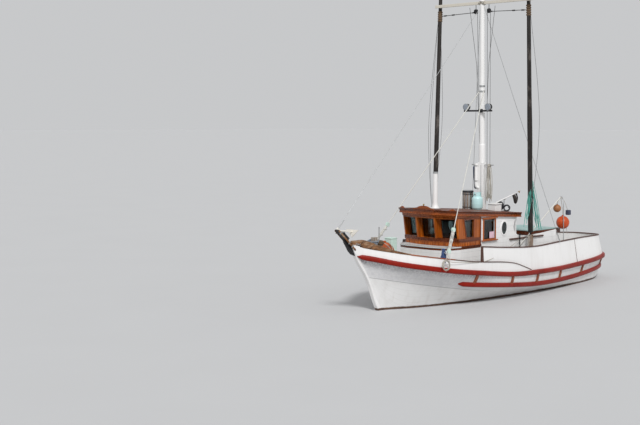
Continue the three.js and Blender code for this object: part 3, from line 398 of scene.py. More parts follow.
class Look:
    """Node material being put together."""

    def __init__(self, name):
        self.material = bpy.data.materials.new(name)
        self.material.use_nodes = True
        self.tree = self.material.node_tree
        self.shader = self.tree.nodes["Principled BSDF"]
        self.place = self.tree.nodes.new("ShaderNodeTexCoord").outputs["Object"]

    def node(self, kind, inputs, **settings):
        made = self.tree.nodes.new(kind)
        for key, value in settings.items():
            setattr(made, key, value)
        for key, value in inputs.items():
            self.feed(made.inputs[key], value)
        return made

    def feed(self, socket, value):
        if isinstance(value, bpy.types.NodeSocket):
            self.tree.links.new(value, socket)
        elif isinstance(value, tuple) and len(value) == 3 and socket.type == "RGBA":
            socket.default_value = (*value, 1.0)
        else:
            socket.default_value = value

    def noise(self, scale, detail=3.0, stretch=(1, 1, 1), rough=0.55):
        where = self.node("ShaderNodeMapping", {"Vector": self.place, "Scale": stretch})
        return self.node("ShaderNodeTexNoise", {
            "Vector": where.outputs[0], "Scale": scale, "Detail": detail, "Roughness": rough}).outputs[0]

    def math(self, operation, a, b=0.0):
        return self.node("ShaderNodeMath", {0: a, 1: b}, operation=operation).outputs[0]

    def plus(self, a, b):
        return self.math("ADD", a, b)

    def less(self, a, b):
        return self.math("SUBTRACT", a, b)

    def times(self, a, b):
        return self.math("MULTIPLY", a, b)

    def spread(self, value, low, high, start=0.0, end=1.0):
        return self.node("ShaderNodeMapRange", {
            "Value": value, "From Min": low, "From Max": high, "To Min": start, "To Max": end}).outputs[0]

    def bowed(self, value, origin, level, slope, bend):
        """level + slope u + bend u^2, where u is the value past the origin."""
        u = self.less(value, origin)
        return self.plus(self.times(u, self.plus(self.times(u, bend), slope)), level)

    def mix(self, factor, a, b):
        return self.node("ShaderNodeMix", {0: factor, 6: a, 7: b}, data_type="RGBA").outputs[2]

    def part(self, vector, axis):
        return self.node("ShaderNodeSeparateXYZ", {0: vector}).outputs[axis]

    def run(self):
        return self.node("ShaderNodeUVMap", {}, uv_map="run").outputs[0]

    def lines(self, value, pitch, width):
        """1 on thin lines at a pitch, 0 between them."""
        share = self.math("FRACT", self.math("DIVIDE", value, pitch))
        off = self.math("ABSOLUTE", self.less(share, 0.5))
        return self.spread(off, width / pitch / 2, width / pitch, 1.0, 0.0)

    def finish(self, colour, roughness, height=None, depth=0.001, **constants):
        self.feed(self.shader.inputs["Base Color"], colour)
        self.feed(self.shader.inputs["Roughness"], roughness)
        if height is not None:
            bump = self.node("ShaderNodeBump", {"Height": height, "Distance": depth, "Strength": 1.0})
            self.feed(self.shader.inputs["Normal"], bump.outputs[0])
        for key, value in constants.items():
            self.shader.inputs[key.replace("_", " ")].default_value = value
        return self.material


def stretch_along(axis, share):
    return tuple(share if k == axis else 1.0 for k in range(3))


def faded(colour, share):
    return tuple(share * c for c in colour)


def wood(name, dark, light, axis, rough, coat=0.0, worn=0.0, boards=None, grey=(0.42, 0.39, 0.35)):
    """Timber with its grain along an axis, under varnish or bare; boards are (axis across them, pitch)."""
    look = Look(name)
    bands = look.noise(26, 4.0, stretch_along(axis, 0.035))
    pores = look.noise(190, 3.0, stretch_along(axis, 0.02))
    cloud = look.noise(1.7, 3.0)
    grain = look.plus(look.times(bands, 0.7), look.times(pores, 0.3))
    colour = look.mix(look.spread(grain, 0.36, 0.64), dark, light)
    colour = look.mix(look.spread(cloud, 0.35, 0.7, 0.0, 0.35), colour, faded(dark, 0.55))
    if worn:
        bare = look.noise(5.5, 5.0, stretch_along(axis, 0.3), rough=0.7)
        colour = look.mix(look.spread(bare, 0.62 - 0.3 * worn, 0.78 - 0.3 * worn), colour, grey)
    height = look.plus(look.times(pores, 0.5), bands)
    if boards:
        across, pitch = boards
        seam = look.lines(look.part(look.place, across), pitch, 0.005)
        colour = look.mix(seam, colour, (0.02, 0.012, 0.008))
        height = look.less(height, look.times(seam, 2.5))
    return look.finish(
        colour, look.spread(bands, 0.35, 0.65, *rough), height, 0.0012, Coat_Weight=coat, Coat_Roughness=0.12,
        Specular_IOR_Level=0.3)


def paint(name, colour, rough=(0.4, 0.6), dirt=0.3, chips=0.0, under=(0.3, 0.2, 0.13), stain=None, seams=None,
          axis=0, gloss=0.5):
    """Brushed paint with faint streaks, and chips down to what lies under it; seams are as wood's boards."""
    look = Look(name)
    brush = look.noise(120, 3.0, stretch_along(axis, 0.06))
    cloud = look.noise(1.3, 4.0)
    streak = look.noise(9.0, 4.0, (1.0, 1.0, 0.07))
    shade = look.spread(look.times(cloud, streak), 0.2, 0.42, 0.0, dirt)
    tone = look.mix(shade, colour, stain or faded(colour, 0.5))
    height = brush
    if chips:
        spot = look.noise(14.0, 6.0, stretch_along(axis, 0.45), rough=0.72)
        bare = look.spread(spot, 0.72 - 0.25 * chips, 0.76 - 0.25 * chips)
        tone = look.mix(bare, tone, under)
        height = look.less(height, look.times(bare, 0.8))
    if seams:
        across, pitch = seams
        seam = look.lines(look.part(look.place, across), pitch, 0.004)
        tone = look.mix(look.times(seam, 0.3), tone, faded(colour, 0.3))
        height = look.less(height, look.times(seam, 2.0))
    return look.finish(tone, look.spread(cloud, 0.35, 0.65, *rough), height, 0.0008, Specular_IOR_Level=gloss)


def metal(name, colour, rough, rust, metallic=1.0):
    """Bare or galvanised metal with cloudy shine, and rust in spots."""
    look = Look(name)
    cloud = look.noise(18, 4.0)
    fine = look.noise(240, 2.0)
    tone = look.mix(look.spread(cloud, 0.3, 0.7, 0.0, 0.5), colour, faded(colour, 0.6))
    if rust:
        spot = look.noise(30.0, 6.0, (1, 1, 0.4), rough=0.7)
        tone = look.mix(look.spread(spot, 0.7 - 0.3 * rust, 0.8 - 0.3 * rust), tone, (0.16, 0.055, 0.02))
    return look.finish(tone, look.spread(cloud, 0.3, 0.7, *rough), fine, 0.0004, Metallic=metallic)


def rope(name, colour, dark):
    """Laid rope; the strands show along its run."""
    look = Look(name)
    twist = 26.0
    run = look.run()
    lay = look.plus(look.times(look.part(run, 0), twist), look.times(look.part(run, 1), twist * 0.55))
    strand = look.math("ABSOLUTE", look.math("SINE", look.times(lay, math.pi)))
    hair = look.noise(420, 2.0)
    dirt = look.noise(7, 4.0)
    tone = look.mix(look.spread(strand, 0.1, 0.6), dark, colour)
    tone = look.mix(look.spread(dirt, 0.45, 0.75, 0.0, 0.4), tone, dark)
    height = look.plus(strand, look.times(hair, 0.3))
    return look.finish(tone, look.spread(hair, 0.3, 0.7, 0.75, 0.95), height, 0.003)


def smooth_skin(name, colour, rough=(0.5, 0.7), scuff=0.15, dark=None):
    """Moulded plastic, rubber or cloth with scuffs."""
    look = Look(name)
    cloud = look.noise(6, 5.0)
    fine = look.noise(300, 2.0)
    tone = look.mix(look.spread(cloud, 0.45, 0.7, 0.0, scuff), colour, dark or faded(colour, 0.4))
    return look.finish(tone, look.spread(cloud, 0.35, 0.65, *rough), fine, 0.0005)


def afloat(look, white, height, depth):
    """Ends a look that is white above the water, with a brown boot-top at it and bottom paint under it."""
    ripple = look.spread(look.noise(2.6, 4.0), 0.3, 0.7, -0.012, 0.012)
    level = look.plus(look.part(look.place, 2), ripple)
    boot = look.mix(look.spread(look.noise(11, 5.0), 0.4, 0.7), (0.085, 0.045, 0.032), (0.16, 0.085, 0.05))
    bottom = look.mix(look.spread(look.noise(4, 5.0), 0.4, 0.65), (0.13, 0.03, 0.018), (0.075, 0.03, 0.022))
    tone = look.mix(look.spread(level, 0.058, 0.068), boot, white)
    tone = look.mix(look.spread(level, -0.02, -0.01), bottom, tone)
    return look.finish(tone, look.spread(level, 0.04, 0.08, 0.75, 0.34), height, depth)


def hull_paint():
    """White planking, with a worn joint line, and painted shade under the rail towards the bow: a grey-blue
    mottle down to the joint line and a darker painted shadow of the rail.
    """
    look = Look("hull_paint")
    x, z = look.part(look.place, 0), look.part(look.place, 2)
    cloud = look.noise(0.9, 4.0)
    streak = look.noise(5.0, 5.0, (1.0, 1.0, 0.06))
    brush = look.noise(90, 3.0, (0.05, 0.05, 1.0))
    white = look.mix(look.spread(cloud, 0.35, 0.7), (0.83, 0.82, 0.81), (0.76, 0.755, 0.745))
    drip = look.times(look.spread(streak, 0.5, 0.72), look.spread(z, 0.1, 1.0, 0.25, 0.12))
    white = look.mix(drip, white, (0.42, 0.37, 0.31))
    from_stem = look.less(look.bowed(z, 0.0, 4.80, 0.33, 0.17), x)
    ahead = look.times(look.spread(x, 1.2, 2.6), look.spread(from_stem, 0.07, 0.12))
    past_joint = look.less(z, look.bowed(x, 1.79, 0.30, 0.13, 0.0115))
    # Painted grey-blue shade under the rail towards the bow, mottled with noise, down to the joint line.
    rail_shade_mottle = look.spread(look.noise(12.0, 5.0, (1, 1, 1.6), rough=0.7), 0.35, 0.7, 0.22, 0.62)
    rail_shade_mottle = look.times(look.times(ahead, look.spread(past_joint, 0.0, 0.02)), rail_shade_mottle)
    white = look.mix(rail_shade_mottle, white, (0.50, 0.50, 0.53))
    joint = look.spread(look.math("ABSOLUTE", past_joint), 0.004, 0.010, 0.6, 0.0)
    white = look.mix(look.times(joint, ahead), white, (0.12, 0.12, 0.13))
    # Painted shadow of the rail: a darker mottled band just under it towards the bow.
    under_rail = look.less(look.bowed(x, 1.0, 0.68, 0.095, 0.0138), z)
    spots = look.spread(look.noise(22.0, 5.0, (1, 1, 0.5), rough=0.75), 0.42, 0.6, 0.15, 0.8)
    painted_rail_shadow = look.times(look.spread(under_rail, 0.06, 0.24, 1.0, 0.0), spots)
    white = look.mix(look.times(painted_rail_shadow, ahead), white, (0.15, 0.15, 0.17))
    seam = look.lines(look.part(look.run(), 1), 0.118, 0.0035)
    white = look.mix(look.times(seam, 0.22), white, (0.35, 0.33, 0.3))
    return afloat(look, white, look.less(look.times(brush, 0.4), look.times(seam, 1.6)), 0.0011)


def stem_paint():
    look = Look("stem_paint")
    shade = look.spread(look.noise(2.0, 5.0), 0.4, 0.75, 0.0, 0.3)
    white = look.mix(shade, (0.85, 0.84, 0.83), (0.6, 0.58, 0.55))
    return afloat(look, white, look.noise(90, 3.0), 0.0006)


def window_glass():
    look = Look("window_glass")
    smear = look.noise(3.0, 4.0, (1.0, 1.0, 0.5))
    tone = look.mix(look.spread(smear, 0.4, 0.7), (0.34, 0.42, 0.42), (0.26, 0.32, 0.33))
    return look.finish(tone, look.spread(smear, 0.35, 0.7, 0.01, 0.06), Transmission_Weight=1.0, IOR=1.45)


WHITE = paint("white_paint", (0.83, 0.82, 0.81), (0.36, 0.5), 0.16, stain=(0.48, 0.44, 0.39))
BOARDED = paint("white_boards", (0.82, 0.81, 0.80), (0.36, 0.5), 0.18, stain=(0.46, 0.42, 0.37),
                seams=(2, 0.14))
OXIDE = paint("oxide_red", (0.25, 0.009, 0.002), (0.3, 0.45), 0.5, 0.1, (0.30, 0.05, 0.02),
              stain=(0.11, 0.006, 0.002), gloss=0.22)
STRUT_PAINT = paint("strut_brown", (0.27, 0.075, 0.03), (0.5, 0.7), 0.4, 0.3, (0.16, 0.05, 0.03), axis=2)
TRIM = paint("trim_brown", (0.085, 0.036, 0.024), chips=0.35, under=(0.2, 0.11, 0.07))
ROOF_PAINT = paint("roof_brown", (0.16, 0.06, 0.038), (0.45, 0.62), 0.4, 0.15, (0.3, 0.2, 0.15))
TRUNK_PAINT = paint("deck_paint", (0.56, 0.57, 0.56), (0.5, 0.65), 0.3, 0.1, (0.4, 0.4, 0.38))
HATCH_GREEN = paint("hatch_green", (0.33, 0.47, 0.45), (0.5, 0.7), 0.4, 0.25, (0.42, 0.42, 0.38))
MINT = paint("mint_paint", (0.60, 0.77, 0.69), chips=0.2, under=(0.55, 0.55, 0.5))
CREAM = paint("cream_paint", (0.84, 0.80, 0.72), chips=0.2, under=(0.4, 0.36, 0.3))
BOTTLE = paint("bottle_paint", (0.52, 0.76, 0.76), (0.3, 0.45), 0.25, 0.25, (0.25, 0.22, 0.2), axis=2)
BOTTOM_PAINT = paint("bottom_paint", (0.12, 0.032, 0.02), (0.7, 0.85), 0.4)
SPAR_CREAM = paint("crosstree_paint", (0.62, 0.58, 0.50), (0.36, 0.5), 0.12, 0.3, axis=1)
VARNISH_UP, VARNISH, VARNISH_OVER, VARNISH_DARK, VARNISH_DARK_UP = (
    wood(f"varnish_{name}", dark, light, axis, (0.2, smooth), 0.3) for name, dark, light, axis, smooth in (
        ("upright", (0.20, 0.034, 0.002), (0.60, 0.155, 0.010), 2, 0.32),
        ("level", (0.15, 0.024, 0.001), (0.48, 0.112, 0.007), 0, 0.32),
        ("across", (0.12, 0.019, 0.001), (0.40, 0.088, 0.006), 1, 0.32),
        ("dark", (0.06, 0.010, 0.002), (0.19, 0.040, 0.006), 0, 0.34),
        ("dark_upright", (0.07, 0.012, 0.002), (0.22, 0.046, 0.006), 2, 0.34)))
WEATHERED = wood("weathered_wood", (0.075, 0.032, 0.013), (0.29, 0.135, 0.055), 0, (0.6, 0.85), worn=0.4,
                 boards=(1, 0.16), grey=(0.34, 0.235, 0.15))
WEATHERED_UP = wood("weathered_upright", (0.13, 0.08, 0.055), (0.30, 0.21, 0.15), 2, (0.6, 0.85), worn=0.7)
POLE = wood("pole_wood", (0.012, 0.010, 0.009), (0.036, 0.029, 0.025), 2, (0.5, 0.75), worn=0.18,
            grey=(0.15, 0.13, 0.115))
DECK = wood("deck_boards", (0.27, 0.27, 0.26), (0.42, 0.42, 0.40), 0, (0.6, 0.85), worn=0.35,
            boards=(1, 0.095), grey=(0.5, 0.49, 0.46))
GLASS = window_glass()
STEEL = metal("galvanised", (0.50, 0.51, 0.51), (0.38, 0.6), 0.35, 0.85)
BLACK = metal("black_metal", (0.028, 0.028, 0.03), (0.4, 0.6), 0.12, 0.5)
BRASS = metal("bronze", (0.46, 0.30, 0.10), (0.28, 0.45), 0.1)
# Painted reflection: the brownish tone of the galvanised flue's staves stands for the brown they reflect; its
# rust spots are real rust.
FLUE_BROWN_REFLECTION = metal("flue_metal_painted_reflection", (0.46, 0.38, 0.31), (0.16, 0.3), 0.45, 0.85)
LAMP_GLASS = metal("lamp_glass", (0.42, 0.46, 0.52), (0.08, 0.2), 0.0, 0.75)
ORANGE = smooth_skin("buoy_orange", (0.56, 0.07, 0.008), (0.3, 0.45), 0.6, (0.20, 0.04, 0.012))
ORANGE_WORN = smooth_skin("buoy_worn", (0.46, 0.085, 0.012), (0.4, 0.6), 1.0, (0.10, 0.035, 0.015))
ORANGE_OLD = smooth_skin("old_orange", (0.33, 0.13, 0.045), scuff=0.4)
NAVY = smooth_skin("navy_fender", (0.04, 0.05, 0.09))
NAVY_CLOTH = smooth_skin("navy_canvas", (0.03, 0.045, 0.10), (0.8, 0.95), 0.3)
DARK_CLOTH = smooth_skin("dark_cloth", (0.05, 0.04, 0.035), (0.8, 0.95), 0.3)
# Painted shade: grey for the shade inside the mast box's groove.
GROOVE_SHADE = smooth_skin("painted_groove_shade", (0.33, 0.33, 0.34))
CARD = smooth_skin("card", (0.72, 0.50, 0.58), (0.6, 0.8), 0.1)
RUBBER = smooth_skin("black_rubber", (0.022, 0.023, 0.027), scuff=0.3, dark=(0.06, 0.06, 0.06))
ROPE, ROPE_PALE, ROPE_GREY_BLUE, ROPE_BLUE, ROPE_BROWN, ROPE_TEAL, ROPE_DARK = (
    rope(f"rope_{name}", colour, dark) for name, colour, dark in (
        ("grey", (0.50, 0.47, 0.41), (0.20, 0.18, 0.15)),
        ("pale", (0.72, 0.71, 0.66), (0.42, 0.40, 0.36)),
        ("grey_blue", (0.24, 0.28, 0.33), (0.10, 0.12, 0.15)),
        ("blue", (0.06, 0.11, 0.26), (0.015, 0.03, 0.09)),
        ("brown", (0.16, 0.10, 0.055), (0.03, 0.02, 0.014)),
        ("teal", (0.12, 0.46, 0.38), (0.04, 0.20, 0.18)),
        ("dark", (0.055, 0.052, 0.05), (0.02, 0.02, 0.02))))


# Hull: rings of points from the port bow round the stern to the starboard bow

def half_section(x):
    corners = [(x, KEEL_HALF, along(STATIONS, x, 1))]
    corners += [(x, along(STATIONS, x, c), along(STATIONS, x, c + 1)) for c in (2, 4, 6, 8)]
    return curve(corners, FINE)


def fine_stations():
    pitch = 0.11
    stops = [row[0] for row in STATIONS[:-1]]
    made = []
    for a, b in zip(stops, stops[1:]):
        count = max(3, round((a - b) / pitch))
        made += [lerp(a, b, i / count) for i in range(count)]
    return made


def mirror(point):
    return Vector((point[0], -point[1], point[2]))


def stern_points(k):
    """Points of one level round the stern, from the last side station to the centreline."""
    steps, kept = 6, 10
    rows = [half_section(row[0])[k] for row in STATIONS[-4:]]
    line = curve([*rows, mirror(rows[-1]), mirror(rows[-2])], steps)
    return line[2 * steps:2 * steps + kept]


SIDE_RINGS = [half_section(x) for x in fine_stations()]
STERN_LEVELS = [stern_points(k) for k in range(EDGE + 1)]
STERN_RINGS = [[level[i] for level in STERN_LEVELS] for i in range(len(STERN_LEVELS[0]))]
PORT_RINGS = SIDE_RINGS + STERN_RINGS
for p in PORT_RINGS[-1]:
    p.y = 0.0
RINGS = PORT_RINGS + [[mirror(p) for p in ring] for ring in PORT_RINGS[-2::-1]]


def hull_shape():
    """The skin, closed under the keel, over the deck edge and at the bow."""
    skin = loft(RINGS, around=False, gauge=len(SIDE_RINGS) // 2)
    count = EDGE + 1
    total = len(RINGS)
    faces = []
    for r in range(len(PORT_RINGS) - 1):
        a, b = r, total - 1 - r
        for k, flip in ((0, False), (EDGE, True)):
            face = tuple(dict.fromkeys(ring * count + k for ring in (a, a + 1, b - 1, b)))
            faces.append(face[::-1] if flip else face)
    faces.append((*range(count), *((total - 1) * count + k for k in reversed(range(count)))))
    return Shape(skin.points, skin.faces + faces, skin.sheets + [None] * len(faces))


def level_line(k):
    """One level of the port side down to the centreline aft, as points with their way outwards in plan."""
    points = [ring[k] for ring in RINGS]
    made = []
    for i in range(len(PORT_RINGS)):
        before, after = points[max(i - 1, 0)], points[i + 1]
        way = Vector((after.y - before.y, before.x - after.x, 0))
        made.append((points[i], way.normalized()))
    made[-1] = (points[len(PORT_RINGS) - 1], Vector((-1, 0, 0)))
    return made


EDGE_LINE = level_line(EDGE)
LOWER_LINE = level_line(LOWER)


def at_station(line, x):
    i = next(k for k in range(len(line) - 1) if line[k + 1][0].x <= x)
    (p, a), (q, b) = line[i], line[i + 1]
    t = (x - p.x) / (q.x - p.x)
    return p.lerp(q, t), a.lerp(b, t).normalized()


def stretch(line, start, end):
    inner = [step for step in line if end < step[0].x < start]
    return [at_station(line, start), *inner, at_station(line, end)]


def round_stern(line, start):
    port = [at_station(line, start)] + [step for step in line if step[0].x < start]
    other = [(mirror(p), mirror(w)) for p, w in reversed(port[:-1])]
    return port + other


def sweep(steps, section):
    """Strip along a line; section(point) gives its corners as (outwards, height)."""
    return loft([[Vector((p.x, p.y, 0)) + way * out + Vector((0, 0, z)) for out, z in section(p)]
                 for p, way in steps])


make("hull_skin", hull_shape(), hull_paint(), stands_for=["hull"], sharp=50)


def backbone_shape():
    outer = [Vector((x, 0, z)) for x, z in STEM]
    edge = [(p.x, p.z) for p in curve(outer, 5)]
    return plate([*edge, *HEEL, *INSIDE], -KEEL_HALF, KEEL_HALF, SIDE)


make("keel_and_stem_timber", backbone_shape(), stem_paint(), stands_for=["keel_and_stem"],
     edge=0.012)


# Heights of the deck's faces over the hull's edge
DECK_LOW, DECK_TOP = 0.0004, 0.0404


def deck_shape():
    inset, least_half = 0.06, 0.012
    rings = []
    for p, way in EDGE_LINE[:-1]:
        x, y = p.x - way.x * inset, max(p.y - way.y * inset, least_half)
        low, high = p.z + DECK_LOW, p.z + DECK_TOP
        rings.append([(x, y, low), (x, y, high), (x, -y, high), (x, -y, low)])
    return loft(rings)


make("deck_planking", deck_shape(), DECK, stands_for=["deck"])


# Bulwarks, port side drawn and starboard mirrored

BULWARK_THICK = 0.04
HIGH_FORE, HIGH_AFT = 2.2, -3.9


def low_top(p):
    return max(along(LOW_TOP, p.x), p.z + 0.04)


def low_section(p):
    top = low_top(p)
    return [(0, p.z), (0, top), (-BULWARK_THICK, top), (-BULWARK_THICK, p.z)]


def high_edges(x):
    """Outer face of the high bulwark at its foot, how far it leans in, and its top."""
    ahead = min(max((x + 1.5) / 1.2, 0), 1)
    outer = -0.006 - 0.0344 * ahead
    return outer, along(HIGH_TOP, x, 2), along(HIGH_TOP, x, 1)


def high_section(p):
    outer, lean, top = high_edges(p.x)
    inner = outer - BULWARK_THICK
    return [(outer, p.z), (outer - lean, top), (inner - lean, top), (inner, p.z)]


def both_sides(name, shape, look, stands_for=None, edge=0.0):
    for side, form in (("port", shape), ("stbd", shape.mirrored())):
        instead = [f"{stands_for}_{side}"] if stands_for else ()
        make(f"{name}_{side}", form, look, "root", instead, edge=edge)


both_sides("bulwark_low", sweep(stretch(EDGE_LINE, 5.4, 0.1), low_section), WHITE, "bulwark_fore",
           0.003)
both_sides("bulwark_high", sweep(stretch(EDGE_LINE, HIGH_FORE, HIGH_AFT), high_section), WHITE, "bulwark_aft",
           0.003)
make("bulwark_round_stern", sweep(round_stern(EDGE_LINE, HIGH_AFT), high_section), WHITE,
     stands_for=["bulwark_stern"], edge=0.003)


def cap_on(edge_of, inner, outer, thick):
    """Rounded capping; edge_of(point) gives the outer face's place at the top, and the top's height."""
    sink, rounding = 0.002, 0.008

    def section(p):
        face, top = edge_of(p)
        low, high = top - sink, top + thick
        return [(face + inner, low), (face + inner, high - rounding), (face + inner + rounding, high),
                (face + outer - rounding, high), (face + outer, high - rounding), (face + outer, low)]
    return section


def low_cap_edge(p):
    return 0.0, low_top(p)


def high_cap_edge(p):
    outer, lean, top = high_edges(p.x)
    return outer - lean, top


HIGH_CAP_THICK = 0.026
HIGH_CAP = cap_on(high_cap_edge, -0.052, 0.012, HIGH_CAP_THICK)
for name, fore, aft, thick, look in (
        ("low_cap_fore", 4.475, 3.3, 0.022, VARNISH), ("low_cap", 3.3, 0.12, 0.018, TRIM)):
    both_sides(name, sweep(stretch(EDGE_LINE, fore, aft), cap_on(low_cap_edge, -0.055, 0.014, thick)), look)
both_sides("high_cap", sweep(stretch(EDGE_LINE, HIGH_FORE, HIGH_AFT), HIGH_CAP), TRIM)
make("high_cap_stern", sweep(round_stern(EDGE_LINE, HIGH_AFT), HIGH_CAP), TRIM)


def bulwark_front():
    """Dark edge board down the fore end of the high bulwark."""
    p, way = at_station(EDGE_LINE, HIGH_FORE)
    outer, lean, top = high_edges(HIGH_FORE)
    base, aft = Vector((0, p.y, 0)), HIGH_FORE - 0.004
    rings = []
    for face, z, ahead in ((outer, p.z + 0.05, 0.09), (outer - lean, top + HIGH_CAP_THICK, 0.026)):
        y = (base + way * face).y
        inner, proud, fore = y - 0.05, y + 0.008, HIGH_FORE + ahead
        rings.append([(aft, inner, z), (aft, proud, z), (fore, proud, z), (fore, inner, z)])
    return loft(rings)


both_sides("bulwark_front_edge", bulwark_front(), TRIM, edge=0.004)


# Rails and the struts between them

def rail_section(p):
    upper = [(0.062, 0), (0.060, 0.034), (0.050, 0.052), (0.030, 0.064), (-0.03, 0.064)]
    return [(out, p.z - rise) for out, rise in upper[:0:-1]] + [(out, p.z + rise) for out, rise in upper]


def pointed_rail(steps, taper):
    """Rail whose fore end runs out to a point."""
    start = steps[0][0].x

    def narrowed(p):
        share = 0.12 + 0.88 * math.sqrt(max(min((start - p.x) / taper, 1.0), 0.0))
        return [(out * share if out > 0 else out, p.z + (z - p.z) * share) for out, z in rail_section(p)]
    return sweep(steps, narrowed)


NOSE = [(Vector((5.545, 0.057, 1.415)), Vector((0.26, 0.97, 0)).normalized())]
for level, steps, taper in (("upper", NOSE + stretch(EDGE_LINE, 5.41, RAIL_AFT), 0.16),
                            ("lower", stretch(LOWER_LINE, 2.96, RAIL_AFT), 0.07)):
    both_sides(f"rail_{level}_side", pointed_rail(steps, taper), OXIDE, f"rail_{level}")
for level, line in (("upper", EDGE_LINE), ("lower", LOWER_LINE)):
    make(f"rail_{level}_round", sweep(round_stern(line, RAIL_AFT - 0.002), rail_section), OXIDE,
         stands_for=[f"rail_{level}_stern"])


def strut(x):
    half_wide, under_edge, inner, outer = 0.04, 0.05, -0.03, 0.034
    fore, aft = x + half_wide, x - half_wide
    rings = []
    for k in range(LOWER, EDGE + 1):
        fall = under_edge if k == EDGE else 0
        points = [(at, half_section(at)[k], out) for at, out in (
            (fore, inner), (fore, outer), (aft, outer), (aft, inner))]
        rings.append([(at, p.y + out, p.z - fall) for at, p, out in points])
    return loft(rings)


both_sides("rail_struts", join(strut(x) for x in STRUTS), STRUT_PAINT, edge=0.006)


# Timber over the bow

CROWN = metres([
    [5700, 1806], [5500, 1802], [5290, 1795], [5080, 1735], [4930, 1660], [4770, 1600], [4520, 1500]])
NOSE_RINGS = ((5.34, at_station(EDGE_LINE, 5.34)[0].y - 0.001, 1.37, 1.60),
              (5.395, at_station(EDGE_LINE, 5.395)[0].y + 0.001, 1.38, 1.617),
              (5.50, 0.074, 1.40, 1.645), (5.62, 0.057, 1.50, 1.69))
both_sides("bulwark_nose", loft([
    [(x, y, low), (x, y, high), (x, 0.045, high), (x, 0.045, low)] for x, y, low, high in NOSE_RINGS]),
    WHITE, edge=0.002)


def crowned():
    """Timber over the bow, rounded up to the centreline."""
    fore, aft, hull_end = 5.70, 4.53, 5.43
    rings = []
    for i in range(25):
        x = lerp(fore, aft, i / 24)
        at = min(x, hull_end)
        edge = max(along(LOW_TOP, at), 0) + 0.034
        half = max(along(STATIONS, at, 8) + 0.008, 0.062) if x < hull_end else 0.064
        top = max(along(CROWN, x), edge + 0.012)
        edge = max(edge, 1.708) if x > 5.42 else edge
        arch = [(half * u, edge + (top - edge) * (1 - abs(u) ** 2.2)) for u in (k / 8 - 1 for k in range(17))]
        rings.append([(x, y, z) for y, z in arch] + [(x, y, edge - 0.006) for y in (half, 0.0, -half)])
    return loft(rings)


make("bow_timber", crowned(), WEATHERED, edge=0.004)

# Looks and softened edges of the CAD nodes that stay

for look, edge, names in (
        (WEATHERED, 0.006, "bow_board"),
        (WEATHERED_UP, 0.01, "samson_post"),
        (WEATHERED_UP, 0.008, "pole_post_port pole_post_stbd"),
        (BOARDED, 0.006, "cabin_side_port cabin_side_stbd trunk_front hatch_coaming"),
        (BOARDED, 0.004, "wheelhouse_back"),
        (TRUNK_PAINT, 0.008, "trunk_top"),
        (VARNISH_UP, 0.008, "wheelhouse_side_port wheelhouse_side_stbd wheelhouse_front"),
        (VARNISH_UP, 0.006, "helm_column"),
        (VARNISH_UP, 0.004, "wheelhouse_door"),
        (VARNISH_OVER, 0.006, "roof_fascia"),
        (VARNISH, 0.003, "helm_wheel"),
        (GLASS, 0.0, "glass_front glass_fore_side_port glass_fore_side_stbd glass_side_port glass_side_stbd"),
        (HATCH_GREEN, 0.008, "hatch_lid"),
        (WHITE, 0.01, "mast_box"),
        (WHITE, 0.008, "roof_locker"),
        (SPAR_CREAM, 0.008, "crosstree"),
        (MINT, 0.008, "deck_locker"),
        (BOTTOM_PAINT, 0.008, "rudder"),
        (CREAM, 0.004, "anchor"),
        (BRASS, 0.002, "door_hinge propeller"),
        (BLACK, 0.004, "bow_roller"),
        (BLACK, 0.003, "lamp_bar")):
    for name in names.split():
        dress(name, look, edge)

# Roof: it falls aft and is crowned across

ROOF_HALF, ROOF_LENGTH = 0.925, 2.79


def roof_x(y):
    return ROOF_LENGTH + 0.18 * min(1, (ROOF_HALF - abs(y)) / (ROOF_HALF - FACET_Y))


def roof_top(x):
    return 2.215 + x * 0.177 / ROOF_LENGTH


def roof_z(x, y):
    return roof_top(x) + 0.04 * (1 - (y / ROOF_HALF) ** 2)


def roof_shape():
    across = [ROOF_HALF * (i / 14 - 1) for i in range(29)]
    rings = []
    for step in range(13):
        rows = [(roof_x(y) * step / 12, y) for y in across]
        rings.append([(x, y, roof_z(x, y)) for x, y in rows]
                     + [(x, y, roof_top(x) - 0.045) for x, y in reversed(rows)])
    return loft(rings)


make("roof_skin", roof_shape(), ROOF_PAINT, stands_for=["wheelhouse_roof"])


# Spars

def mast_at(z):
    return Vector((0.5 + 0.06 * (z - 3.57) / 4.23, 0, z))


make("mast_spar", turned(mast_at(3.53), mast_at(7.8) - mast_at(3.53), [(0, 0.075), (4.27, 0.062)], 40), WHITE,
     stands_for=["mast"])

# Each pole's foot, and a point that its axis runs through
POLES = {
    "port": (Vector((-0.15, 1.155, 1.61)), Vector((0.44, 1.4, 7.84))),
    "stbd": (Vector((1.11, -1.155, 1.65)), Vector((0.44, -1.53, 7.84))),
}
POLE_ROWS = [
    (0, 0.060), (0.02, 0.068), (2.6, 0.0625), (5.2, 0.054), (7.4, 0.043), (8.59, 0.034), (8.61, 0.022)]
PIN_HALF = Vector((0.046, 0, 0))
for side, (foot, through) in POLES.items():
    way = (through - foot).normalized()
    spar = turned(foot + way * 0.09, way, POLE_ROWS, 36)
    iron = rod(foot - way * 0.022, foot + way * 0.16, 0.022)
    pin = rod(foot - PIN_HALF, foot + PIN_HALF, 0.011)
    make(f"pole_{side}_spar", spar + iron + pin, POLE, f"{side}_pole", [f"pole_{side}"])

SHROUD_TOP, SHROUD_FOOT = Vector((0.527, 0.03, 5.52)), Vector((3.6, 1.29, 1.315))
both_sides("shroud_line", rod(SHROUD_TOP + Vector((0, 0.03, 0)), SHROUD_FOOT, 0.011), ROPE_PALE, "shroud")


# What stands on the roof: each thing's place, and its rows of (height, radius)

STACK, BOTTLE_AT, FLUE = (2.2, -0.24), (0.92, 0.165), (0.95, -0.13)


def on_roof(at, rows):
    return upright((*at, roof_z(*at) - 0.01), rows, 40)


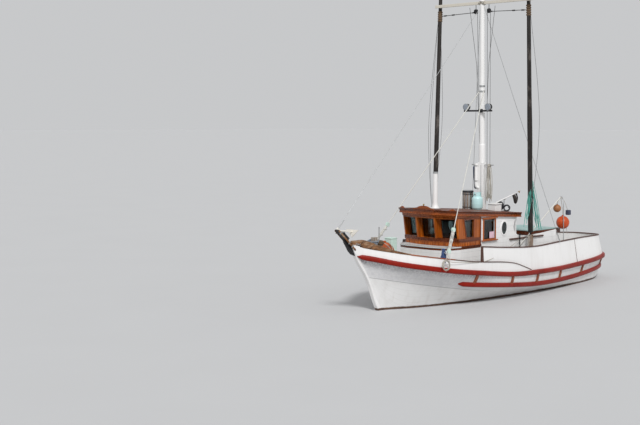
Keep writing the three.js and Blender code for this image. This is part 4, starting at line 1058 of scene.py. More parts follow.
make("stack_pipe", on_roof(STACK, [
    (0, 0.118), (0.03, 0.112), (0.06, 0.086), (0.12, 0.072), (0.18, 0.066), (0.93, 0.062), (0.96, 0.064),
    (0.97, 0.056)]), WHITE, stands_for=["exhaust_stack"])
make("bottle_body", on_roof(BOTTLE_AT, [
    (0, 0.105), (0.03, 0.105), (0.032, 0.118), (0.045, 0.136), (0.07, 0.148), (0.29, 0.148), (0.32, 0.142),
    (0.345, 0.126), (0.365, 0.10), (0.375, 0.06)]), BOTTLE, stands_for=["gas_bottle"])
make("flue_body", on_roof(FLUE, [(0, 0.135), (0.48, 0.135), (0.481, 0.15), (0.51, 0.15), (0.523, 0.12)]),
     STEEL, stands_for=["stove_flue"])


# Mouldings round the front of the wheelhouse, the trunk and the roof

def raked(p, z):
    """The wheelhouse's front leans ahead over its sill."""
    in_front = p.x > 2.45 and abs(p.y) <= HOUSE_HALF + 0.001
    return RAKE * (z - SILL_Z) if in_front and z > SILL_Z else 0.0


def banded(path, section, side=1, rake=1):
    """Strip along a path in plan; section(point) gives corners as (to the path's left, height), or to its
    right where side is -1. The strip takes that share of the front's rake."""
    rows = [Vector(p) for p in path]
    rings = []
    for i, p in enumerate(rows):
        a = (p - rows[i - 1]).normalized() if i else (rows[1] - p).normalized()
        b = (rows[i + 1] - p).normalized() if i < len(rows) - 1 else a
        way = (a + b).normalized()
        out = Vector((-way.y, way.x, 0)) / max(way.dot(a), 0.4) * side
        rings.append([p + out * u + Vector((rake * raked(p, z), 0, z)) for u, z in section(p)])
    return loft(rings)


def round_bow(edge):
    """Path over a half outline of the port side, from starboard round the bow to port."""
    return [(x, -y, 0) for x, y in edge] + [(x, y, 0) for x, y in reversed(edge)]


FRONT = [(SILL_X, HOUSE_HALF), (SILL_X + 0.19, FACET_Y)]
FRONT_PATH = round_bow([(1.735, HOUSE_HALF), *FRONT])
TRUNK_PATH = round_bow([(1.735, 0.90), (2.56, 0.90), (2.862, 0.86), (3.05, 0.70), (3.13, 0.38)])
ROOF_PATH = round_bow([(-0.002, 0.9255), (ROOF_LENGTH, 0.9255), (2.971, 0.306)])


def even(corners):
    return lambda p: corners


def under_roof(inner, outer, low, high):
    """Flat section between two places across and two drops below the roof."""
    def section(p):
        top = roof_top(p.x + raked(p, 2.3))
        return [(inner, top - low), (outer, top - low), (outer, top - high), (inner, top - high)]
    return section


def by_roof(corners):
    return lambda p: [(u, roof_top(p.x) + z) for u, z in corners]


make("sill_moulding", banded(FRONT_PATH, even([
    (-0.01, 1.605), (0.016, 1.605), (0.018, 1.628), (0.030, 1.636), (0.040, 1.650), (0.040, 1.668),
    (0.024, 1.684), (-0.01, 1.684)])), VARNISH_DARK, edge=0.002)
make("sill_bead", banded(FRONT_PATH, even([
    (-0.01, 1.590), (0.009, 1.590), (0.009, 1.605), (-0.01, 1.605)])), VARNISH)
make("frieze", banded(FRONT_PATH, under_roof(-0.01, 0.008, 0.168, 0.08)), VARNISH)
make("frieze_bead", banded(FRONT_PATH, under_roof(-0.01, 0.018, 0.178, 0.160)), VARNISH_DARK, edge=0.003)
make("trunk_moulding", banded(TRUNK_PATH, even([
    (-0.004, 1.412), (0.020, 1.412), (0.024, 1.424), (0.024, 1.436), (0.034, 1.446), (0.040, 1.460),
    (0.040, 1.480), (0.032, 1.492), (0.018, 1.492), (0.018, 1.458), (-0.004, 1.458)])), VARNISH_DARK)
for name, look, corners in (
        ("cornice", VARNISH_DARK, [
            (0.0, -0.022), (0.026, -0.022), (0.034, -0.012), (0.046, -0.004), (0.050, 0.008), (0.046, 0.020),
            (0.0, 0.024), (-0.02, 0.018), (-0.02, 0.008), (0.0, 0.008)]),
        ("cornice_bead", VARNISH, [
            (0.0, -0.106), (0.030, -0.106), (0.034, -0.100), (0.032, -0.090), (0.022, -0.084),
            (0.0, -0.084)]),
        ("cornice_cove", VARNISH_DARK, [
            (0.020, -0.050), (0.028, -0.040), (0.030, -0.028), (0.030, -0.020), (0.020, -0.020)])):
    make(name, banded(ROOF_PATH, by_roof(corners), -1, 0), look)


def crest(centre, half, rise, across):
    """Small carved piece on the cornice; it runs along a direction in plan."""
    edge = [(-1.0, 0.25), (-0.86, 0.34), (-0.62, 0.48), (-0.45, 0.80), (-0.2, 0.97), (0.0, 1.0)]
    edge += [(-u, v) for u, v in reversed(edge[:-1])]
    top = [(u * half, rise * v) for u, v in edge]
    shape = plate([(-half, -0.04), *top, (half, -0.04)][::-1], -0.014, 0.014, ACROSS)
    way = Vector(across).normalized()
    return shape.moved(Matrix.Translation(centre) @ Matrix.Rotation(math.atan2(-way.x, way.y), 4, "Z"))


for name, x, y, roof_at, above, half, rise, across, edge in (
        ("crest_port", 2.835, 0.83, 2.83, 0.015, 0.095, 0.05, (-0.18, 0.62, 0), 0.003),
        ("crest_stbd", 2.835, -0.83, 2.83, 0.015, 0.095, 0.05, (0.18, 0.62, 0), 0.003),
        ("crest_middle", 2.992, 0.02, 2.98, 0.016, 0.34, 0.094, (0, 1, 0), 0.004)):
    make(name, crest((x, y, roof_top(roof_at) + above), half, rise, across), VARNISH_OVER, edge=edge)
make("crest_knob", upright((2.992, 0.02, roof_top(2.98) + 0.10), [
    (0, 0.012), (0.015, 0.012), (0.03, 0.024), (0.05, 0.02), (0.06, 0.006)], 20), BRASS)

# Frames, sills and small fittings of the sides

def frame_around(name, outline, thick, proud, look):
    """Moulding round an opening of the side; the outline is in station and height."""
    rows = [(x, HOUSE_HALF, z) for x, z in outline]
    both_sides(name, moulding(rows, (0, 1, 0), [
        (-0.012, -0.006), (thick, -0.006), (thick, proud * 0.7), (thick * 0.7, proud), (-0.012, proud)]),
        look, edge=0.002)


for name, low, high, look, edge in (
        ("sill_skirt", (1.735, 0.897, 1.455), (2.56, 0.935, 1.492), VARNISH_DARK, 0.003),
        ("corner_batten", (1.728, 0.895, 1.46), (1.772, 0.915, 2.225), VARNISH_DARK_UP, 0.003),
        ("side_window_cap", (1.045, 0.895, 2.150), (1.70, 0.948, 2.176), VARNISH, 0.004),
        ("side_window_sill", (1.045, 0.895, 1.558), (1.70, 0.956, 1.588), VARNISH, 0.004),
        ("side_rub_bar", (-1.10, 0.897, 1.512), (0.47, 0.940, 1.552), TRIM, 0.006)):
    both_sides(name, box(low, high), look, edge=edge)
frame_around("side_window_frame", [(1.11, 1.60), (1.11, 2.13), (1.62, 2.13), (1.62, 1.60)], 0.024, 0.020,
             VARNISH_UP)
frame_around("fore_window_bead", [(2.035, 1.70), (2.035, 2.165), (2.44, 2.165), (2.345, 1.70)], 0.022, 0.012,
             VARNISH_DARK_UP)
OVAL_X, OVAL_Z = 0.71, 1.85
OVAL = [(0.13 * math.cos(a), 0.18 * math.sin(a)) for a in angles(40)]
frame_around("oval_frame", [(OVAL_X + x, OVAL_Z + z) for x, z in OVAL[::-1]], 0.030, 0.016, WHITE)
both_sides("oval_glass", plate([(OVAL_X + x * 1.04, OVAL_Z + z * 1.04) for x, z in OVAL], 0.889, 0.894, SIDE),
           GLASS)
VENT_X, VENT_Z = 2.283, 2.253
both_sides("vent_rim", moulding(
    [(VENT_X + 0.042 * math.cos(a), 0.908, VENT_Z - 0.026 * math.sin(a)) for a in angles(24)], (0, 1, 0),
    [(-0.008, -0.004), (0.008, -0.004), (0.004, 0.012)]), BRASS)
both_sides("vent_slats", join(
    box((VENT_X - 0.033, 0.907, VENT_Z + d - 0.003), (VENT_X + 0.033, 0.912, VENT_Z + d + 0.003))
    for d in (-0.013, 0.0, 0.013)), BRASS)
both_sides("corner_joints", join(
    box((x, 0.897, 1.495), (x + 0.006, 0.9035, 1.588)) for x in (1.95, 2.2, 2.42)), VARNISH_DARK_UP)


FACET_OUT = Vector((0.9526, 0.3042, 0))


def on_facet(share, z, out):
    """Point on the port facet of the front, by its share of the way from the corner in."""
    p = Vector((*FRONT[0], 0)).lerp(Vector((*FRONT[1], 0)), share) + FACET_OUT * out
    return Vector((p.x + RAKE * (z - SILL_Z), p.y, z))


def facet_bar(start, end, low, high, proud):
    corners = [(start, low), (end, low), (end, high), (start, high)]
    return loft([[on_facet(share, z, out) for share, z in corners] for out in (-0.004, proud)])


both_sides("facet_beads", join(facet_bar(*bar) for bar in (
    (0.07, 0.93, 1.684, 1.704, 0.012), (0.07, 0.93, 2.18, 2.2, 0.012),
    (0.32, 0.335, 1.495, 1.588, 0.006), (0.66, 0.675, 1.495, 1.588, 0.006))), VARNISH_DARK, edge=0.002)

# Inside the wheelhouse

for name, low, high, look, edge in (
        ("inner_ceiling", (0.14, -0.85, 2.10), (2.35, 0.85, 2.12), VARNISH_DARK, 0.0),
        ("inner_floor", (0.14, -0.85, 0.86), (2.5, 0.85, 0.885), DECK, 0.0),
        ("chart_shelf", (2.05, -0.85, 1.55), (2.44, -0.05, 1.58), VARNISH_OVER, 0.006),
        ("seat", (0.5, -0.84, 0.87), (1.15, -0.42, 1.28), VARNISH_DARK, 0.01),
        ("seat_cushion", (0.5, -0.84, 1.282), (1.15, -0.42, 1.35), RUBBER, 0.02),
        ("radio", (2.12, -0.62, 1.582), (2.32, -0.32, 1.70), BLACK, 0.01),
        ("window_card", (1.125, 0.8815, 1.62), (1.33, 0.883, 1.79), CARD, 0.0)):
    make(name, box(low, high), look, edge=edge)

# Door panels, light and handle, on the door's after face

DOOR_X = 0.0925


def door_frame(half, low, high, section):
    corners = [(-half, low), (half, low), (half, high), (-half, high)]
    return moulding([(DOOR_X, y, z) for y, z in corners], (-1, 0, 0), section)


for k, (low, high) in enumerate(((0.84, 1.28), (1.34, 1.56))):
    panel = door_frame(0.20, low, high, [(-0.012, 0.0), (0.012, 0.0), (0.006, 0.008), (-0.006, 0.008)])
    make(f"door_panel_{k}", panel, VARNISH_DARK, "door")
make("door_light", box((0.086, -0.19, 1.60), (0.0935, 0.19, 1.88)), GLASS, "door")
make("door_light_frame", door_frame(0.19, 1.60, 1.88, [
    (-0.014, 0.0), (0.018, 0.0), (0.012, 0.012), (-0.008, 0.012)]), VARNISH_DARK, "door")
make("door_knob", turned((0.093, 0.235, 1.36), (-1, 0, 0), [
    (0, 0.024), (0.004, 0.024), (0.006, 0.009), (0.026, 0.009), (0.034, 0.02), (0.05, 0.022),
    (0.058, 0.014)], 20), BRASS, "door")

# Mast: sleeve, pipe, blocks, hanks, halyards, bands and lamps

MAST_WAY = (0.014, 0, 1)
MASTHEAD_SHEAVES = ((0.56, -0.21, 7.62), (0.56, 0.22, 7.62))
make("mast_sleeve", turned(mast_at(3.57), MAST_WAY, [
    (0, 0.090), (0.46, 0.088), (0.49, 0.080), (0.50, 0.070)], 36), WHITE, edge=0.002)
PIPE_LINE = [
    (0.628, -0.10, 3.54), (0.628, -0.10, 3.0), (0.624, -0.096, 2.93), (0.60, -0.08, 2.89),
    (0.55, -0.05, 2.88)]
make("mast_pipe", tube(PIPE_LINE, 0.042, 16), WHITE)
make("mast_pipe_straps", join(box((0.56, -0.146, z), (0.672, -0.06, z + 0.03)) for z in (3.05, 3.46)), STEEL,
     edge=0.002)
# Thin grey strips on the mast box are painted shade of its groove.
make("box_groove_shade", box((0.588, 0.022, 2.55), (0.5915, 0.034, 3.5))
     + box((0.512, 0.0885, 2.55), (0.524, 0.0915, 3.5)), GROOVE_SHADE)
make("hank_bar", rod((0.50, -0.34, 3.50), (0.50, 0.38, 3.50), 0.014), STEEL)


def hank(name, top, length, width, strands, look, body="root", lean=(0, 0), thick=0.008):
    """Rope hung in long loops over a peg."""
    x, y, z = top
    shape = Shape()
    for i in range(strands):
        off = width * (i / (strands - 1) - 0.5)
        drop = length * random.uniform(0.86, 1.0)
        sway = [random.uniform(-0.25, 0.25) * width for _ in range(4)]
        line = [(x + 0.016, y + off * 0.5, z - 0.03), (x, y + off * 0.55, z + thick + 0.004),
                (x - 0.016, y + off * 0.6, z - 0.03)]
        for dx, dy, share, fall in (
                (-0.02, off + sway[0], 0.3, 0.3), (-0.03, off * 1.2 + sway[1], 0.7, 0.7),
                (-0.01, off * 1.1, 1, 0.97), (0.02, off * 1.1 + 0.02, 1, 1),
                (0.035, off + sway[2], 0.7, 0.7), (0.025, off * 0.8 + sway[3], 0.3, 0.3)):
            line.append((x + dx + lean[0] * share, y + dy + lean[1] * share, z - drop * fall))
        shape = shape + tube(curve(line, 5, closed=True), thick, 7, closed=True)
    make(name, shape, look, body)


hank("mast_hank", (0.50, 0.24, 3.51), 1.02, 0.14, 7, ROPE)
make("rolled_canvas", turned((0.49, -0.27, 3.46), (0.02, 0.12, -1), [
    (0, 0.012), (0.02, 0.036), (0.2, 0.046), (0.42, 0.042), (0.58, 0.048), (0.62, 0.03)], 20), NAVY_CLOTH)
make("canvas_tie", tube([(0.50, -0.27, 3.50), (0.49, -0.27, 3.44)], 0.006), ROPE_DARK)


def block(centre, size, hang):
    """Single sheave block, with its strop's length above it."""
    x, y, z = centre
    cheek = [(0.0, 0.5), (0.35, 0.34), (0.42, 0.0), (0.35, -0.34), (0.0, -0.5), (-0.35, -0.34), (-0.42, 0.0),
             (-0.35, 0.34)]
    outline = [(x + u * size, z + v * size) for u, v in cheek]
    sheave = turned((x, y - size * 0.12, z), (0, 1, 0), [(0, size * 0.3), (size * 0.24, size * 0.3)], 20)
    return (plate(outline, y - size * 0.26, y - size * 0.14, SIDE)
            + plate(outline, y + size * 0.14, y + size * 0.26, SIDE) + sheave
            + tube([(x, y, z + size * 0.3), (x, y, z + size * 0.5 + hang)], size * 0.07))


make("masthead_blocks", join(block(at, 0.13, 0.11) for at in MASTHEAD_SHEAVES), BLACK, edge=0.003)
make("halyards", join(tube(sagging(a, b, 0.01, 6), 0.0055, 6) for a, b in (
    ((0.52, -0.19, 7.60), (0.42, -0.10, 2.30)), ((0.60, 0.20, 7.60), (0.46, 0.14, 3.2)),
    ((0.52, 0.24, 7.60), (0.36, 0.17, 2.30)))), ROPE_DARK)
make("mast_cap", upright(mast_at(7.88), [(0, 0.07), (0.03, 0.07), (0.05, 0.05), (0.055, 0.01)], 28), WHITE)
make("mast_bands", join(
    turned(mast_at(z), MAST_WAY, [(0, 0.079), (0.045, 0.079)]) for z in (5.46, 5.60)), STEEL, edge=0.002)


def lashing(y):
    line = curve([(0.56, y, 7.79), (0.635, y, 7.84), (0.56, y, 7.89), (0.485, y, 7.84)], 5, closed=True)
    return tube(line, 0.009, 7, closed=True)


make("crosstree_lashings", join(lashing(y) for y in (-0.08, -0.06, -0.04, 0.04, 0.06, 0.08)), ROPE)
LAMP_WAY = (150, 0, -15)
for side, y in (("stbd", -0.43), ("port", 0.30)):
    make(f"lamp_{side}_glass", turned((0.672, y, 5.059), LAMP_WAY, [
        (0, 0.088), (0.016, 0.088), (0.026, 0.07), (0.032, 0.04), (0.034, 0.0)]), LAMP_GLASS)
    make(f"lamp_{side}_rim", turned((0.668, y, 5.0594), LAMP_WAY, [
        (0, 0.098), (0.018, 0.098), (0.018, 0.086), (0, 0.086)]), STEEL, edge=0.002)

# Topping lifts between the masthead and the poles, and the lines that hang along the poles

LIFT = 7.58


def pole_point(side, z):
    foot, through = POLES[side]
    return foot + (through - foot) * ((z - foot.z) / (through.z - foot.z))


for side, sign in SIDES:
    ring = pole_point(side, LIFT)
    spar_way = (POLES[side][1] - POLES[side][0]).normalized()
    turns = [(0, 0.05), (0.02, 0.068), (0.04, 0.068), (0.06, 0.05)]
    band = join(turned(ring + spar_way * d, spar_way, turns, 24) for d in (-0.16, -0.10, -0.04, 0.02, 0.08))
    make(f"pole_{side}_band", band, ROPE_BROWN, f"{side}_pole")
    start, end = Vector((0.56, 0.215 * sign, 7.60)), ring - Vector((0, 0.055 * sign, 0))
    sleeves = join(rod(start.lerp(end, t), start.lerp(end, t + 0.07), 0.019) for t in (0.02, 0.62, 0.86))
    line = tube([start.lerp(end, k / 16) for k in range(17)], 0.009)
    lift = make(f"lift_{side}", line + sleeves, ROPE_DARK, None)
    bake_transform(lift)
    lines = Shape()
    for dx, dy, low, belly in ((0.10, 0.06, 2.1, 0.10), (-0.12, 0.05, 2.6, -0.16), (0.02, 0.11, 1.95, 0.03)):
        fore = 1 if dx > 0 else -1
        low_end = pole_point(side, low) + Vector((0.05 * fore, 0.045 * sign, 0))
        high_end = ring + Vector((0.045 * fore, 0.03 * sign, -0.1))
        middle = high_end.lerp(low_end, 0.55) + Vector((belly + dx, dy * sign, 0))
        lines = lines + bent([high_end, middle, low_end], 12, 0.0045, 6)
    make(f"pole_{side}_lines", lines, ROPE_DARK, f"{side}_pole")

# Thin standing rigging

make("forestay", tube([(0.62, -0.10, 7.62), (6.15, -0.02, 2.10)], 0.006, 7)
     + rod((5.93, -0.023, 2.318), (6.15, -0.02, 2.10), 0.014), STEEL)
for side, sign, foot in (("port", 1, -1.5), ("stbd", -1, -0.62)):
    head, end = Vector((0.56, 0.07 * sign, 7.72)), Vector((foot, 1.21 * sign, 1.34))
    make(f"backstay_{side}", tube([head, end], 0.006, 7) + rod(end.lerp(head, 0.03), end, 0.014), STEEL)
both_sides("tag_line", tube([(0.56, 0.42, 7.74), (0.52, 0.20, 6.2), (0.50, 0.14, 4.95)], 0.0055, 7),
           ROPE_DARK)

# Shroud tackles, and the coils and lines beside them

DOWN = (SHROUD_FOOT - SHROUD_TOP).normalized()


def on_shroud(z):
    return SHROUD_TOP.lerp(SHROUD_FOOT, (SHROUD_TOP.z - z) / (SHROUD_TOP.z - SHROUD_FOOT.z))


def lanyards():
    """Ropes between the two blocks of a tackle, with turns round them and a loose tail."""
    high, low = on_shroud(1.94), on_shroud(1.49)
    shape = Shape()
    for k in range(4):
        angle = math.pi * k / 2 + 0.6
        off = Vector((math.cos(angle), math.sin(angle), 0)) * 0.028
        shape = shape + tube([high + off, high.lerp(low, 0.5) + off * 1.15, low + off * 0.8], 0.009, 7)
    for share in (0.1, 0.42, 0.72):
        shape = shape + coil(high.lerp(low, share) - Vector((0, 0, 0.02)), 0.036, 2.5, 0.009, 0.035, DOWN)
    tail = [low + Vector(off) for off in (
        (0.02, 0.02, 0), (0.07, 0.03, -0.1), (0.03, 0.06, -0.22), (0.08, 0.04, -0.1), (0.02, -0.02, 0.06))]
    return shape + bent(tail, 6, 0.008, 7)


both_sides("shroud_tackle", join(block(on_shroud(z), 0.12, 0.0) for z in (1.97, 1.47)), MINT, edge=0.003)
both_sides("shroud_lanyards", lanyards(), ROPE_PALE)
both_sides("shroud_coil", coil((3.72, 1.337, 1.15), 0.12, 4.5, 0.008, 0.03, (0.1, 1, 0.1), 0.12), ROPE)
both_sides("shroud_coil_tie", bent([(3.72, 1.34, 1.27), (3.69, 1.325, 1.31), (3.64, 1.30, 1.335)], 5, 0.008),
           ROPE)
hank("blue_hank", (3.60, 1.165, 1.52), 0.34, 0.10, 8, ROPE_BLUE, thick=0.011)
make("blue_hank_peg", rod((3.60, 1.10, 1.505), (3.60, 1.26, 1.40), 0.011), STEEL)
make("side_line", bent([
    (3.62, 1.31, 1.24), (3.43, 1.345, 1.20), (2.9, 1.39, 1.155), (2.31, 1.385, 1.11), (1.6, 1.32, 1.20),
    (0.8, 1.15, 1.36), (0.08, 0.965, 1.50)], 8, 0.007, 7), ROPE)

# Roof gear

make("stack_foot", on_roof(STACK, [(0, 0.15), (0.014, 0.15), (0.02, 0.13)]), STEEL)
make("stack_cap", on_roof(STACK, [(0.93, 0.068), (0.965, 0.068), (0.972, 0.06)]), STEEL)
make("bottle_ring", on_roof(BOTTLE_AT, [(0.17, 0.149), (0.178, 0.1505), (0.186, 0.149)]), BOTTLE)
BOTTLE_TOP = roof_z(*BOTTLE_AT) + 0.355


def collar_arc(radius, start):
    x, y = BOTTLE_AT
    turns = [start + 0.14 * i for i in range(10)]
    return [(x + radius * math.cos(a), y + radius * math.sin(a)) for a in turns]


def over_bottle(dx, y, rise):
    return BOTTLE_AT[0] + dx, y, BOTTLE_TOP + rise


collar = [collar_arc(0.1, start) + collar_arc(0.094, start)[::-1] for start in (0.2, 2.3, 4.4)]
make("bottle_collar", join(plate(arc, BOTTLE_TOP - 0.01, BOTTLE_TOP + 0.115, PLAN) for arc in collar), BOTTLE,
     edge=0.002)
make("bottle_valve", rod(over_bottle(0, 0.165, -0.01), over_bottle(0, 0.165, 0.06), 0.016)
     + rod(over_bottle(0, 0.12, 0.045), over_bottle(0, 0.20, 0.045), 0.012)
     + upright(over_bottle(0, 0.165, 0.06), [(0, 0.028), (0.02, 0.028)], 14), BRASS)
make("bottle_hose", bent([
    over_bottle(0, 0.12, 0.045), over_bottle(0.01, 0.04, 0.03), over_bottle(0.03, 0.02, -0.15),
    (0.98, 0.035, roof_z(0.9, 0) + 0.01)], 8, 0.008), RUBBER)
FLUE_FOOT = roof_z(*FLUE)
# The staves' brownish tone is painted reflection.
make("flue_staves", join(
    box((-0.006, -0.02, 0), (0.004, 0.02, 0.44)).moved(
        Matrix.Translation((*FLUE, FLUE_FOOT + 0.015)) @ Matrix.Rotation(angle, 4, "Z")
        @ Matrix.Translation((0.139, 0, 0)))
    for angle in angles(10)), FLUE_BROWN_REFLECTION, edge=0.002)
make("flue_bands", join(
    upright((*FLUE, FLUE_FOOT + z), [(0, 0.147), (0.02, 0.147)]) for z in (0.05, 0.40)), BLACK)
make("flue_hood", upright((*FLUE, FLUE_FOOT + 0.452), [
    (0, 0.155), (0.03, 0.158), (0.05, 0.15), (0.052, 0.05), (0.06, 0.045)]), BLACK)
make("roof_locker_lid", box((0.352, 0.312, 2.446), (0.648, 0.568, 2.478)), WHITE, edge=0.004)
# The black strip under the lid is painted shade in the gap.
make("roof_locker_gap_shade", box((0.356, 0.316, 2.436), (0.644, 0.564, 2.446)), RUBBER)
make("hose_coil", coil((0.20, 0.42, roof_z(0.2, 0.42) + 0.125), 0.105, 6.5, 0.012, 0.09, (1, -0.2, 0.1), 0.1)
     + coil((0.16, 0.60, roof_z(0.16, 0.6) + 0.09), 0.075, 4.5, 0.012, 0.07, (1, 0.3, 0.15), 0.12), RUBBER)
HOOK_FOOT, HOOK_END = (-0.62, 0.33, 2.70), (-0.74, 0.312, 2.721)
make("boathook", rod((0.52, 0.50, 2.50), HOOK_FOOT, 0.016) + rod(HOOK_FOOT, HOOK_END, 0.010), WHITE)
make("boathook_head", bent([HOOK_END, (-0.80, 0.30, 2.735), (-0.84, 0.30, 2.70)], 6, 0.012)
     + rod(HOOK_END, (-0.87, 0.292, 2.745), 0.010), BRASS)
make("boathook_crutch", rod((0.06, 0.425, 2.24), (0.06, 0.425, 2.566), 0.012)
     + rod((0.06, 0.375, 2.566), (0.06, 0.475, 2.566), 0.010), STEEL)
make("roof_bundle", bent([
    (-0.50, 0.33, 2.66), (-0.55, 0.36, 2.55), (-0.60, 0.34, 2.44), (-0.66, 0.36, 2.56), (-0.62, 0.34, 2.68)],
    6, lambda t: 0.035 + 0.02 * math.sin(6 * t), 10), DARK_CLOTH)
for k, (x, height, length, lean) in enumerate((
        (-0.085, 3.06, 1.28, -0.40), (-0.07, 3.0, 1.12, -0.26), (-0.06, 2.9, 1.22, -0.33),
        (0.0, 2.86, 0.98, 0.20), (0.01, 2.8, 0.72, 0.09))):
    hank(f"teal_hank_{k}", (x, 1.235, height), length, 0.07, 2, ROPE_TEAL, "port_pole", (lean, -0.02), 0.0065)

# Floats hung aft on their davit

DAVIT_END, LARGE_TOP = (-2.125, 0.80, 2.55), (-2.2, 0.835, 2.02)
make("float_davit", bent([
    (-2.02, 0.98, 0.66), (-2.02, 0.98, 1.5), (-2.02, 0.97, 2.3), (-2.07, 0.90, 2.52), (-2.125, 0.80, 2.56)],
    8, 0.010, 12), STEEL)
make("davit_line", tube([(-2.125, 0.80, 2.545), (-1.02, 0.88, 1.93), (0.08, 0.955, 1.34)], 0.015), ROPE_PALE)


def float_ball(centre, radius):
    rows = [(radius * (1 - math.cos(a)), radius * math.sin(a)) for a in (math.pi * i / 22 for i in range(21))]
    eye = [(radius * 2.02, radius * 0.16), (radius * 2.14, radius * 0.16)]
    return upright(Vector(centre) - Vector((0, 0, radius)), rows + eye, 36)


make("float_large", float_ball((-2.2, 0.835, 1.82), 0.185), ORANGE)
make("float_small", float_ball((-2.08, 0.72, 2.22), 0.11), ORANGE_OLD)
make("float_dark", box((-2.40, 0.86, 2.03), (-2.28, 0.98, 2.17)), NAVY, edge=0.02)
make("float_lines", join(bent(line, 5, 0.007, 7) for line in (
    [DAVIT_END, (-2.17, 0.82, 2.3), LARGE_TOP],
    [DAVIT_END, (-2.09, 0.75, 2.45), (-2.08, 0.72, 2.34)],
    [DAVIT_END, (-2.24, 0.86, 2.4), (-2.33, 0.91, 2.165)],
    [LARGE_TOP, (-2.24, 0.90, 1.8), (-2.26, 0.95, 1.5)])), ROPE)

# Hatch trim

make("hatch_canvas", box((-2.27, -0.66, 1.647), (-0.84, 0.66, 1.662)), HATCH_GREEN, "hatch", edge=0.006)
make("hatch_skirt", join(box(low, high) for low, high in (
    ((-2.298, 0.672, 1.532), (-0.812, 0.69, 1.642)), ((-2.298, -0.50, 1.532), (-2.282, 0.69, 1.642)),
    ((-0.828, -0.50, 1.532), (-0.812, 0.69, 1.642)))), VARNISH_DARK, "hatch", edge=0.004)
HATCH_EDGE = ((-2.284, -0.674), (-2.284, 0.674), (-0.826, 0.674), (-0.826, -0.674))
make("hatch_rim", moulding([(x, y, 1.60) for x, y in HATCH_EDGE], (0, 0, 1), [
    (-0.01, 0.004), (0.014, 0.004), (0.014, 0.034), (0.006, 0.044), (-0.01, 0.044)]), VARNISH_DARK, "hatch",
    edge=0.002)

# Seam strips, ribs, stanchion and cleats


def seam_strip(x):
    """Cover strip on the outer face of the high bulwark."""
    half_wide, proud, sunk = 0.006, 0.003, 0.004
    rings = []
    for at in (x + half_wide, x - half_wide):
        p, way = at_station(EDGE_LINE, at)
        outer, lean, top = high_edges(at)
        rings.append([Vector((p.x, p.y, 0)) + way * out + Vector((0, 0, z)) for out, z in (
            (outer - sunk, p.z + 0.06), (outer + proud, p.z + 0.06), (outer - lean + proud, top),
            (outer - lean - sunk, top))])
    return loft(rings)


def bulwark_rib(x, edges):
    """Timber against the inner face of a bulwark, from the deck to just under the cap."""
    wide, deep, under_cap = 0.05, 0.045, 0.012
    p, way = at_station(EDGE_LINE, x)
    outer, lean, top = edges(x)
    low = p.z + 0.041
    length = Vector((-way.y, way.x, 0)) * wide / 2
    rings = []
    for z, part in ((low, (low - p.z) / (top - p.z)), (top - under_cap, 1.0)):
        inner = outer - 0.038 - lean * part
        rings.append([Vector((p.x, p.y, z)) + way * out + length * end for out, end in (
            (inner, -1), (inner, 1), (inner - deep, 1), (inner - deep, -1))])
    return loft(rings)


def low_edges(x):
    return 0.0, 0.0, along(LOW_TOP, x)


RIB_PITCH = 0.42
for name, first, count, edges in (("ribs_high", 1.9, 14, high_edges), ("ribs_low", 4.55, 6, low_edges)):
    both_sides(name, join(bulwark_rib(first - RIB_PITCH * i, edges) for i in range(count)), WHITE, edge=0.004)
make("side_stanchion", upright((0.06, 0.955, 0.625), [
    (0, 0.045), (0.02, 0.045), (0.03, 0.018), (0.99, 0.015), (1.0, 0.026), (1.025, 0.022)], 16), BLACK)
both_sides("stern_seam", seam_strip(-2.56), TRIM)


def cleat(x, y, z):
    horn = turned((x - 0.1, y, z + 0.05), (1, 0, 0), [
        (0, 0.006), (0.03, 0.012), (0.1, 0.015), (0.17, 0.012), (0.2, 0.006)], 14)
    legs = join(rod((x + d, y, z - 0.01), (x + d, y, z + 0.05), 0.011) for d in (-0.03, 0.03))
    return horn + legs + box((x - 0.06, y - 0.02, z - 0.004), (x + 0.06, y + 0.02, z + 0.006))


both_sides("cleats", cleat(-3.3, 0.80, 0.676) + cleat(3.1, 1.2, 0.985), STEEL)

# Foredeck gear; the chute slopes up to the bow roller

BUOY, BUOY_RADIUS = Vector((4.215, -0.24, 1.391)), 0.255
CHUTE_FOOT, CHUTE = Vector((5.60, 0, 1.553)), Vector((0.5990, 0, 0.5240)).normalized()
CHUTE_UP = Vector((-CHUTE.z, 0, CHUTE.x))


def on_chute(length, y, above):
    return CHUTE_FOOT + Vector((0, y, 0)) + CHUTE * length + CHUTE_UP * above


def chute_bar(start, end, y_low, y_high, low, high):
    return loft([[on_chute(d, y, h) for y, h in ((y_low, low), (y_high, low), (y_high, high), (y_low, high))]
                 for d in (start, end)])


def chute_roller(length, radius):
    """Two halves on one pin."""
    return join(rod(on_chute(length, a, 0.075), on_chute(length, b, 0.075), r, sides) for a, b, r, sides in (
        (-0.05, -0.016, radius, 24), (0.016, 0.05, radius, 24), (-0.07, 0.07, 0.009, 16)))


both_sides("chute_side", chute_bar(0.02, 0.80, 0.062, 0.072, -0.012, 0.032), WEATHERED, edge=0.003)
make("chute_floor", chute_bar(0.13, 0.80, -0.058, -0.018, 0.029, 0.034)
     + chute_bar(0.13, 0.80, 0.018, 0.058, 0.029, 0.034), STEEL)
make("chute_rollers", chute_roller(0.42, 0.034) + chute_roller(0.58, 0.040), RUBBER, edge=0.003)
make("chute_straps", join(chute_bar(d, d + 0.03, side * 0.073 - 0.004, side * 0.073 + 0.004, -0.03, 0.06)
                          for d in (0.16, 0.30, 0.70) for side in (-1, 1)), STEEL, edge=0.002)
BUOY_ROWS = [(BUOY_RADIUS * (1 - math.cos(a)) - 0.012, BUOY_RADIUS * math.sin(a))
             for a in (math.pi * i / 26 for i in range(2, 26))]
BUOY_EYE = [(0.50, 0.045), (0.53, 0.045), (0.535, 0.02)]
make("buoy_skin", upright(BUOY - Vector((0, 0, 0.243)), BUOY_ROWS + BUOY_EYE, 40), ORANGE_WORN,
     stands_for=["buoy"])


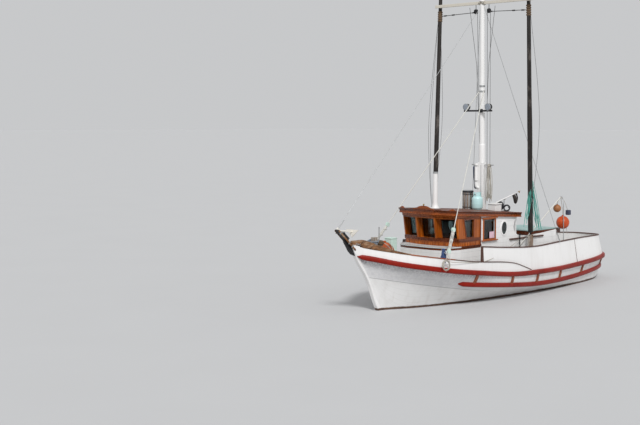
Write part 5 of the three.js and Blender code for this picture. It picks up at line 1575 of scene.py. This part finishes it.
def round_buoy(tilt):
    way, aside = Vector((math.cos(tilt), 0, math.sin(tilt))), Vector((0, 1, 0))
    turn = (*angles(40), 2 * math.pi)
    return tube([BUOY + (way * math.cos(a) + aside * math.sin(a)) * 0.262 for a in turn], 0.009, 7)


make("buoy_wrap", round_buoy(1.2) + round_buoy(1.9), ROPE)
make("deck_locker_lid", box((3.608, -0.57, 1.688), (3.85, -0.328, 1.712)), MINT, edge=0.005)
make("foredeck_coil", coil((4.92, 0.02, 1.68), 0.115, 3.6, 0.015, 0.08, (0.12, 0.04, 1), 0.16),
     ROPE_GREY_BLUE)
make("foredeck_float", float_ball((4.56, -0.06, 1.53), 0.14), ORANGE_WORN)
make("foredeck_warp", coil((4.60, -0.08, 1.62), 0.10, 4.2, 0.020, 0.08, (0.1, 0.05, 1), 0.2), ROPE_BROWN)
make("thin_rod", rod((4.575, -0.10, 1.20), (4.575, -0.10, 2.06), 0.013), STEEL)


def chain_link(k):
    """Links lie flat and upright by turns."""
    centre = Vector((5.55 - 0.055 * k, 0.06 + 0.01 * math.sin(k), 1.715 - 0.008 * k))
    loop = [(0.036 * math.cos(a), 0.02 * math.sin(a)) for a in angles(12)]
    return tube([centre + Vector((u, v, 0) if k % 2 else (u, 0, v)) for u, v in loop], 0.006, 6, closed=True)


make("anchor_chain", join(chain_link(k) for k in range(11)), STEEL)

# Floor, light and camera; the floor's colour is the one that looks like the studio behind it

FLOOR_HALF = 600.0
STUDIO = (0.575, 0.582, 0.592)
SUN, SUN_SPREAD = 2.3, math.radians(12)
SUN_WAY = Vector((-0.50, -0.62, -0.75)).normalized()
PALE = tuple(c / (c - SUN * SUN_WAY.z / math.pi) for c in STUDIO)
CAMERA_PLACE, CAMERA_WAY, PITCH = (26.5, 19.4, 4.66), (-0.713, -0.701), math.radians(4.37)
LENS, SENSOR = 66.66, 36


def floor_look():
    look = Look("floor")
    cloud = look.noise(0.35, 3.0)
    tone = look.mix(look.spread(cloud, 0.3, 0.7), PALE, faded(PALE, 0.985))
    return look.finish(tone, 0.85)


floor = bpy.data.meshes.new("floor")
CORNERS = ((-1, -1), (1, -1), (1, 1), (-1, 1))
floor.from_pydata([(x * FLOOR_HALF, y * FLOOR_HALF, 0) for x, y in CORNERS], [], [(0, 1, 2, 3)])
floor.materials.append(floor_look())
floor = bpy.data.objects.new("floor", floor)
bpy.context.scene.collection.objects.link(floor)
floor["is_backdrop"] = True

world = bpy.data.worlds.new("studio")
world.use_nodes = True
world.node_tree.nodes["Background"].inputs["Color"].default_value = (*STUDIO, 1)
world.node_tree.nodes["Background"].inputs["Strength"].default_value = 1.0
bpy.context.scene.world = world


bpy.context.scene.view_settings.view_transform = "Standard"


def place(made, at, way):
    """Puts a lamp or camera in the scene, looking along a direction."""
    made.location = at
    made.rotation_mode = "QUATERNION"
    made.rotation_quaternion = Vector(way).to_track_quat("-Z", "Y")
    bpy.context.scene.collection.objects.link(made)


sun = bpy.data.lights.new("key", "SUN")
sun.energy = SUN
sun.angle = SUN_SPREAD
sun = bpy.data.objects.new("key", sun)
place(sun, (0, 0, 0), SUN_WAY)
sun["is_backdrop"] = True

view = bpy.data.cameras.new("camera")
view.lens = LENS
view.sensor_width = SENSOR
camera = bpy.data.objects.new("camera", view)
ahead, aside = CAMERA_WAY
place(camera, CAMERA_PLACE, (ahead * math.cos(PITCH), aside * math.cos(PITCH), -math.sin(PITCH)))
bpy.context.scene.camera = camera

low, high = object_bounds()
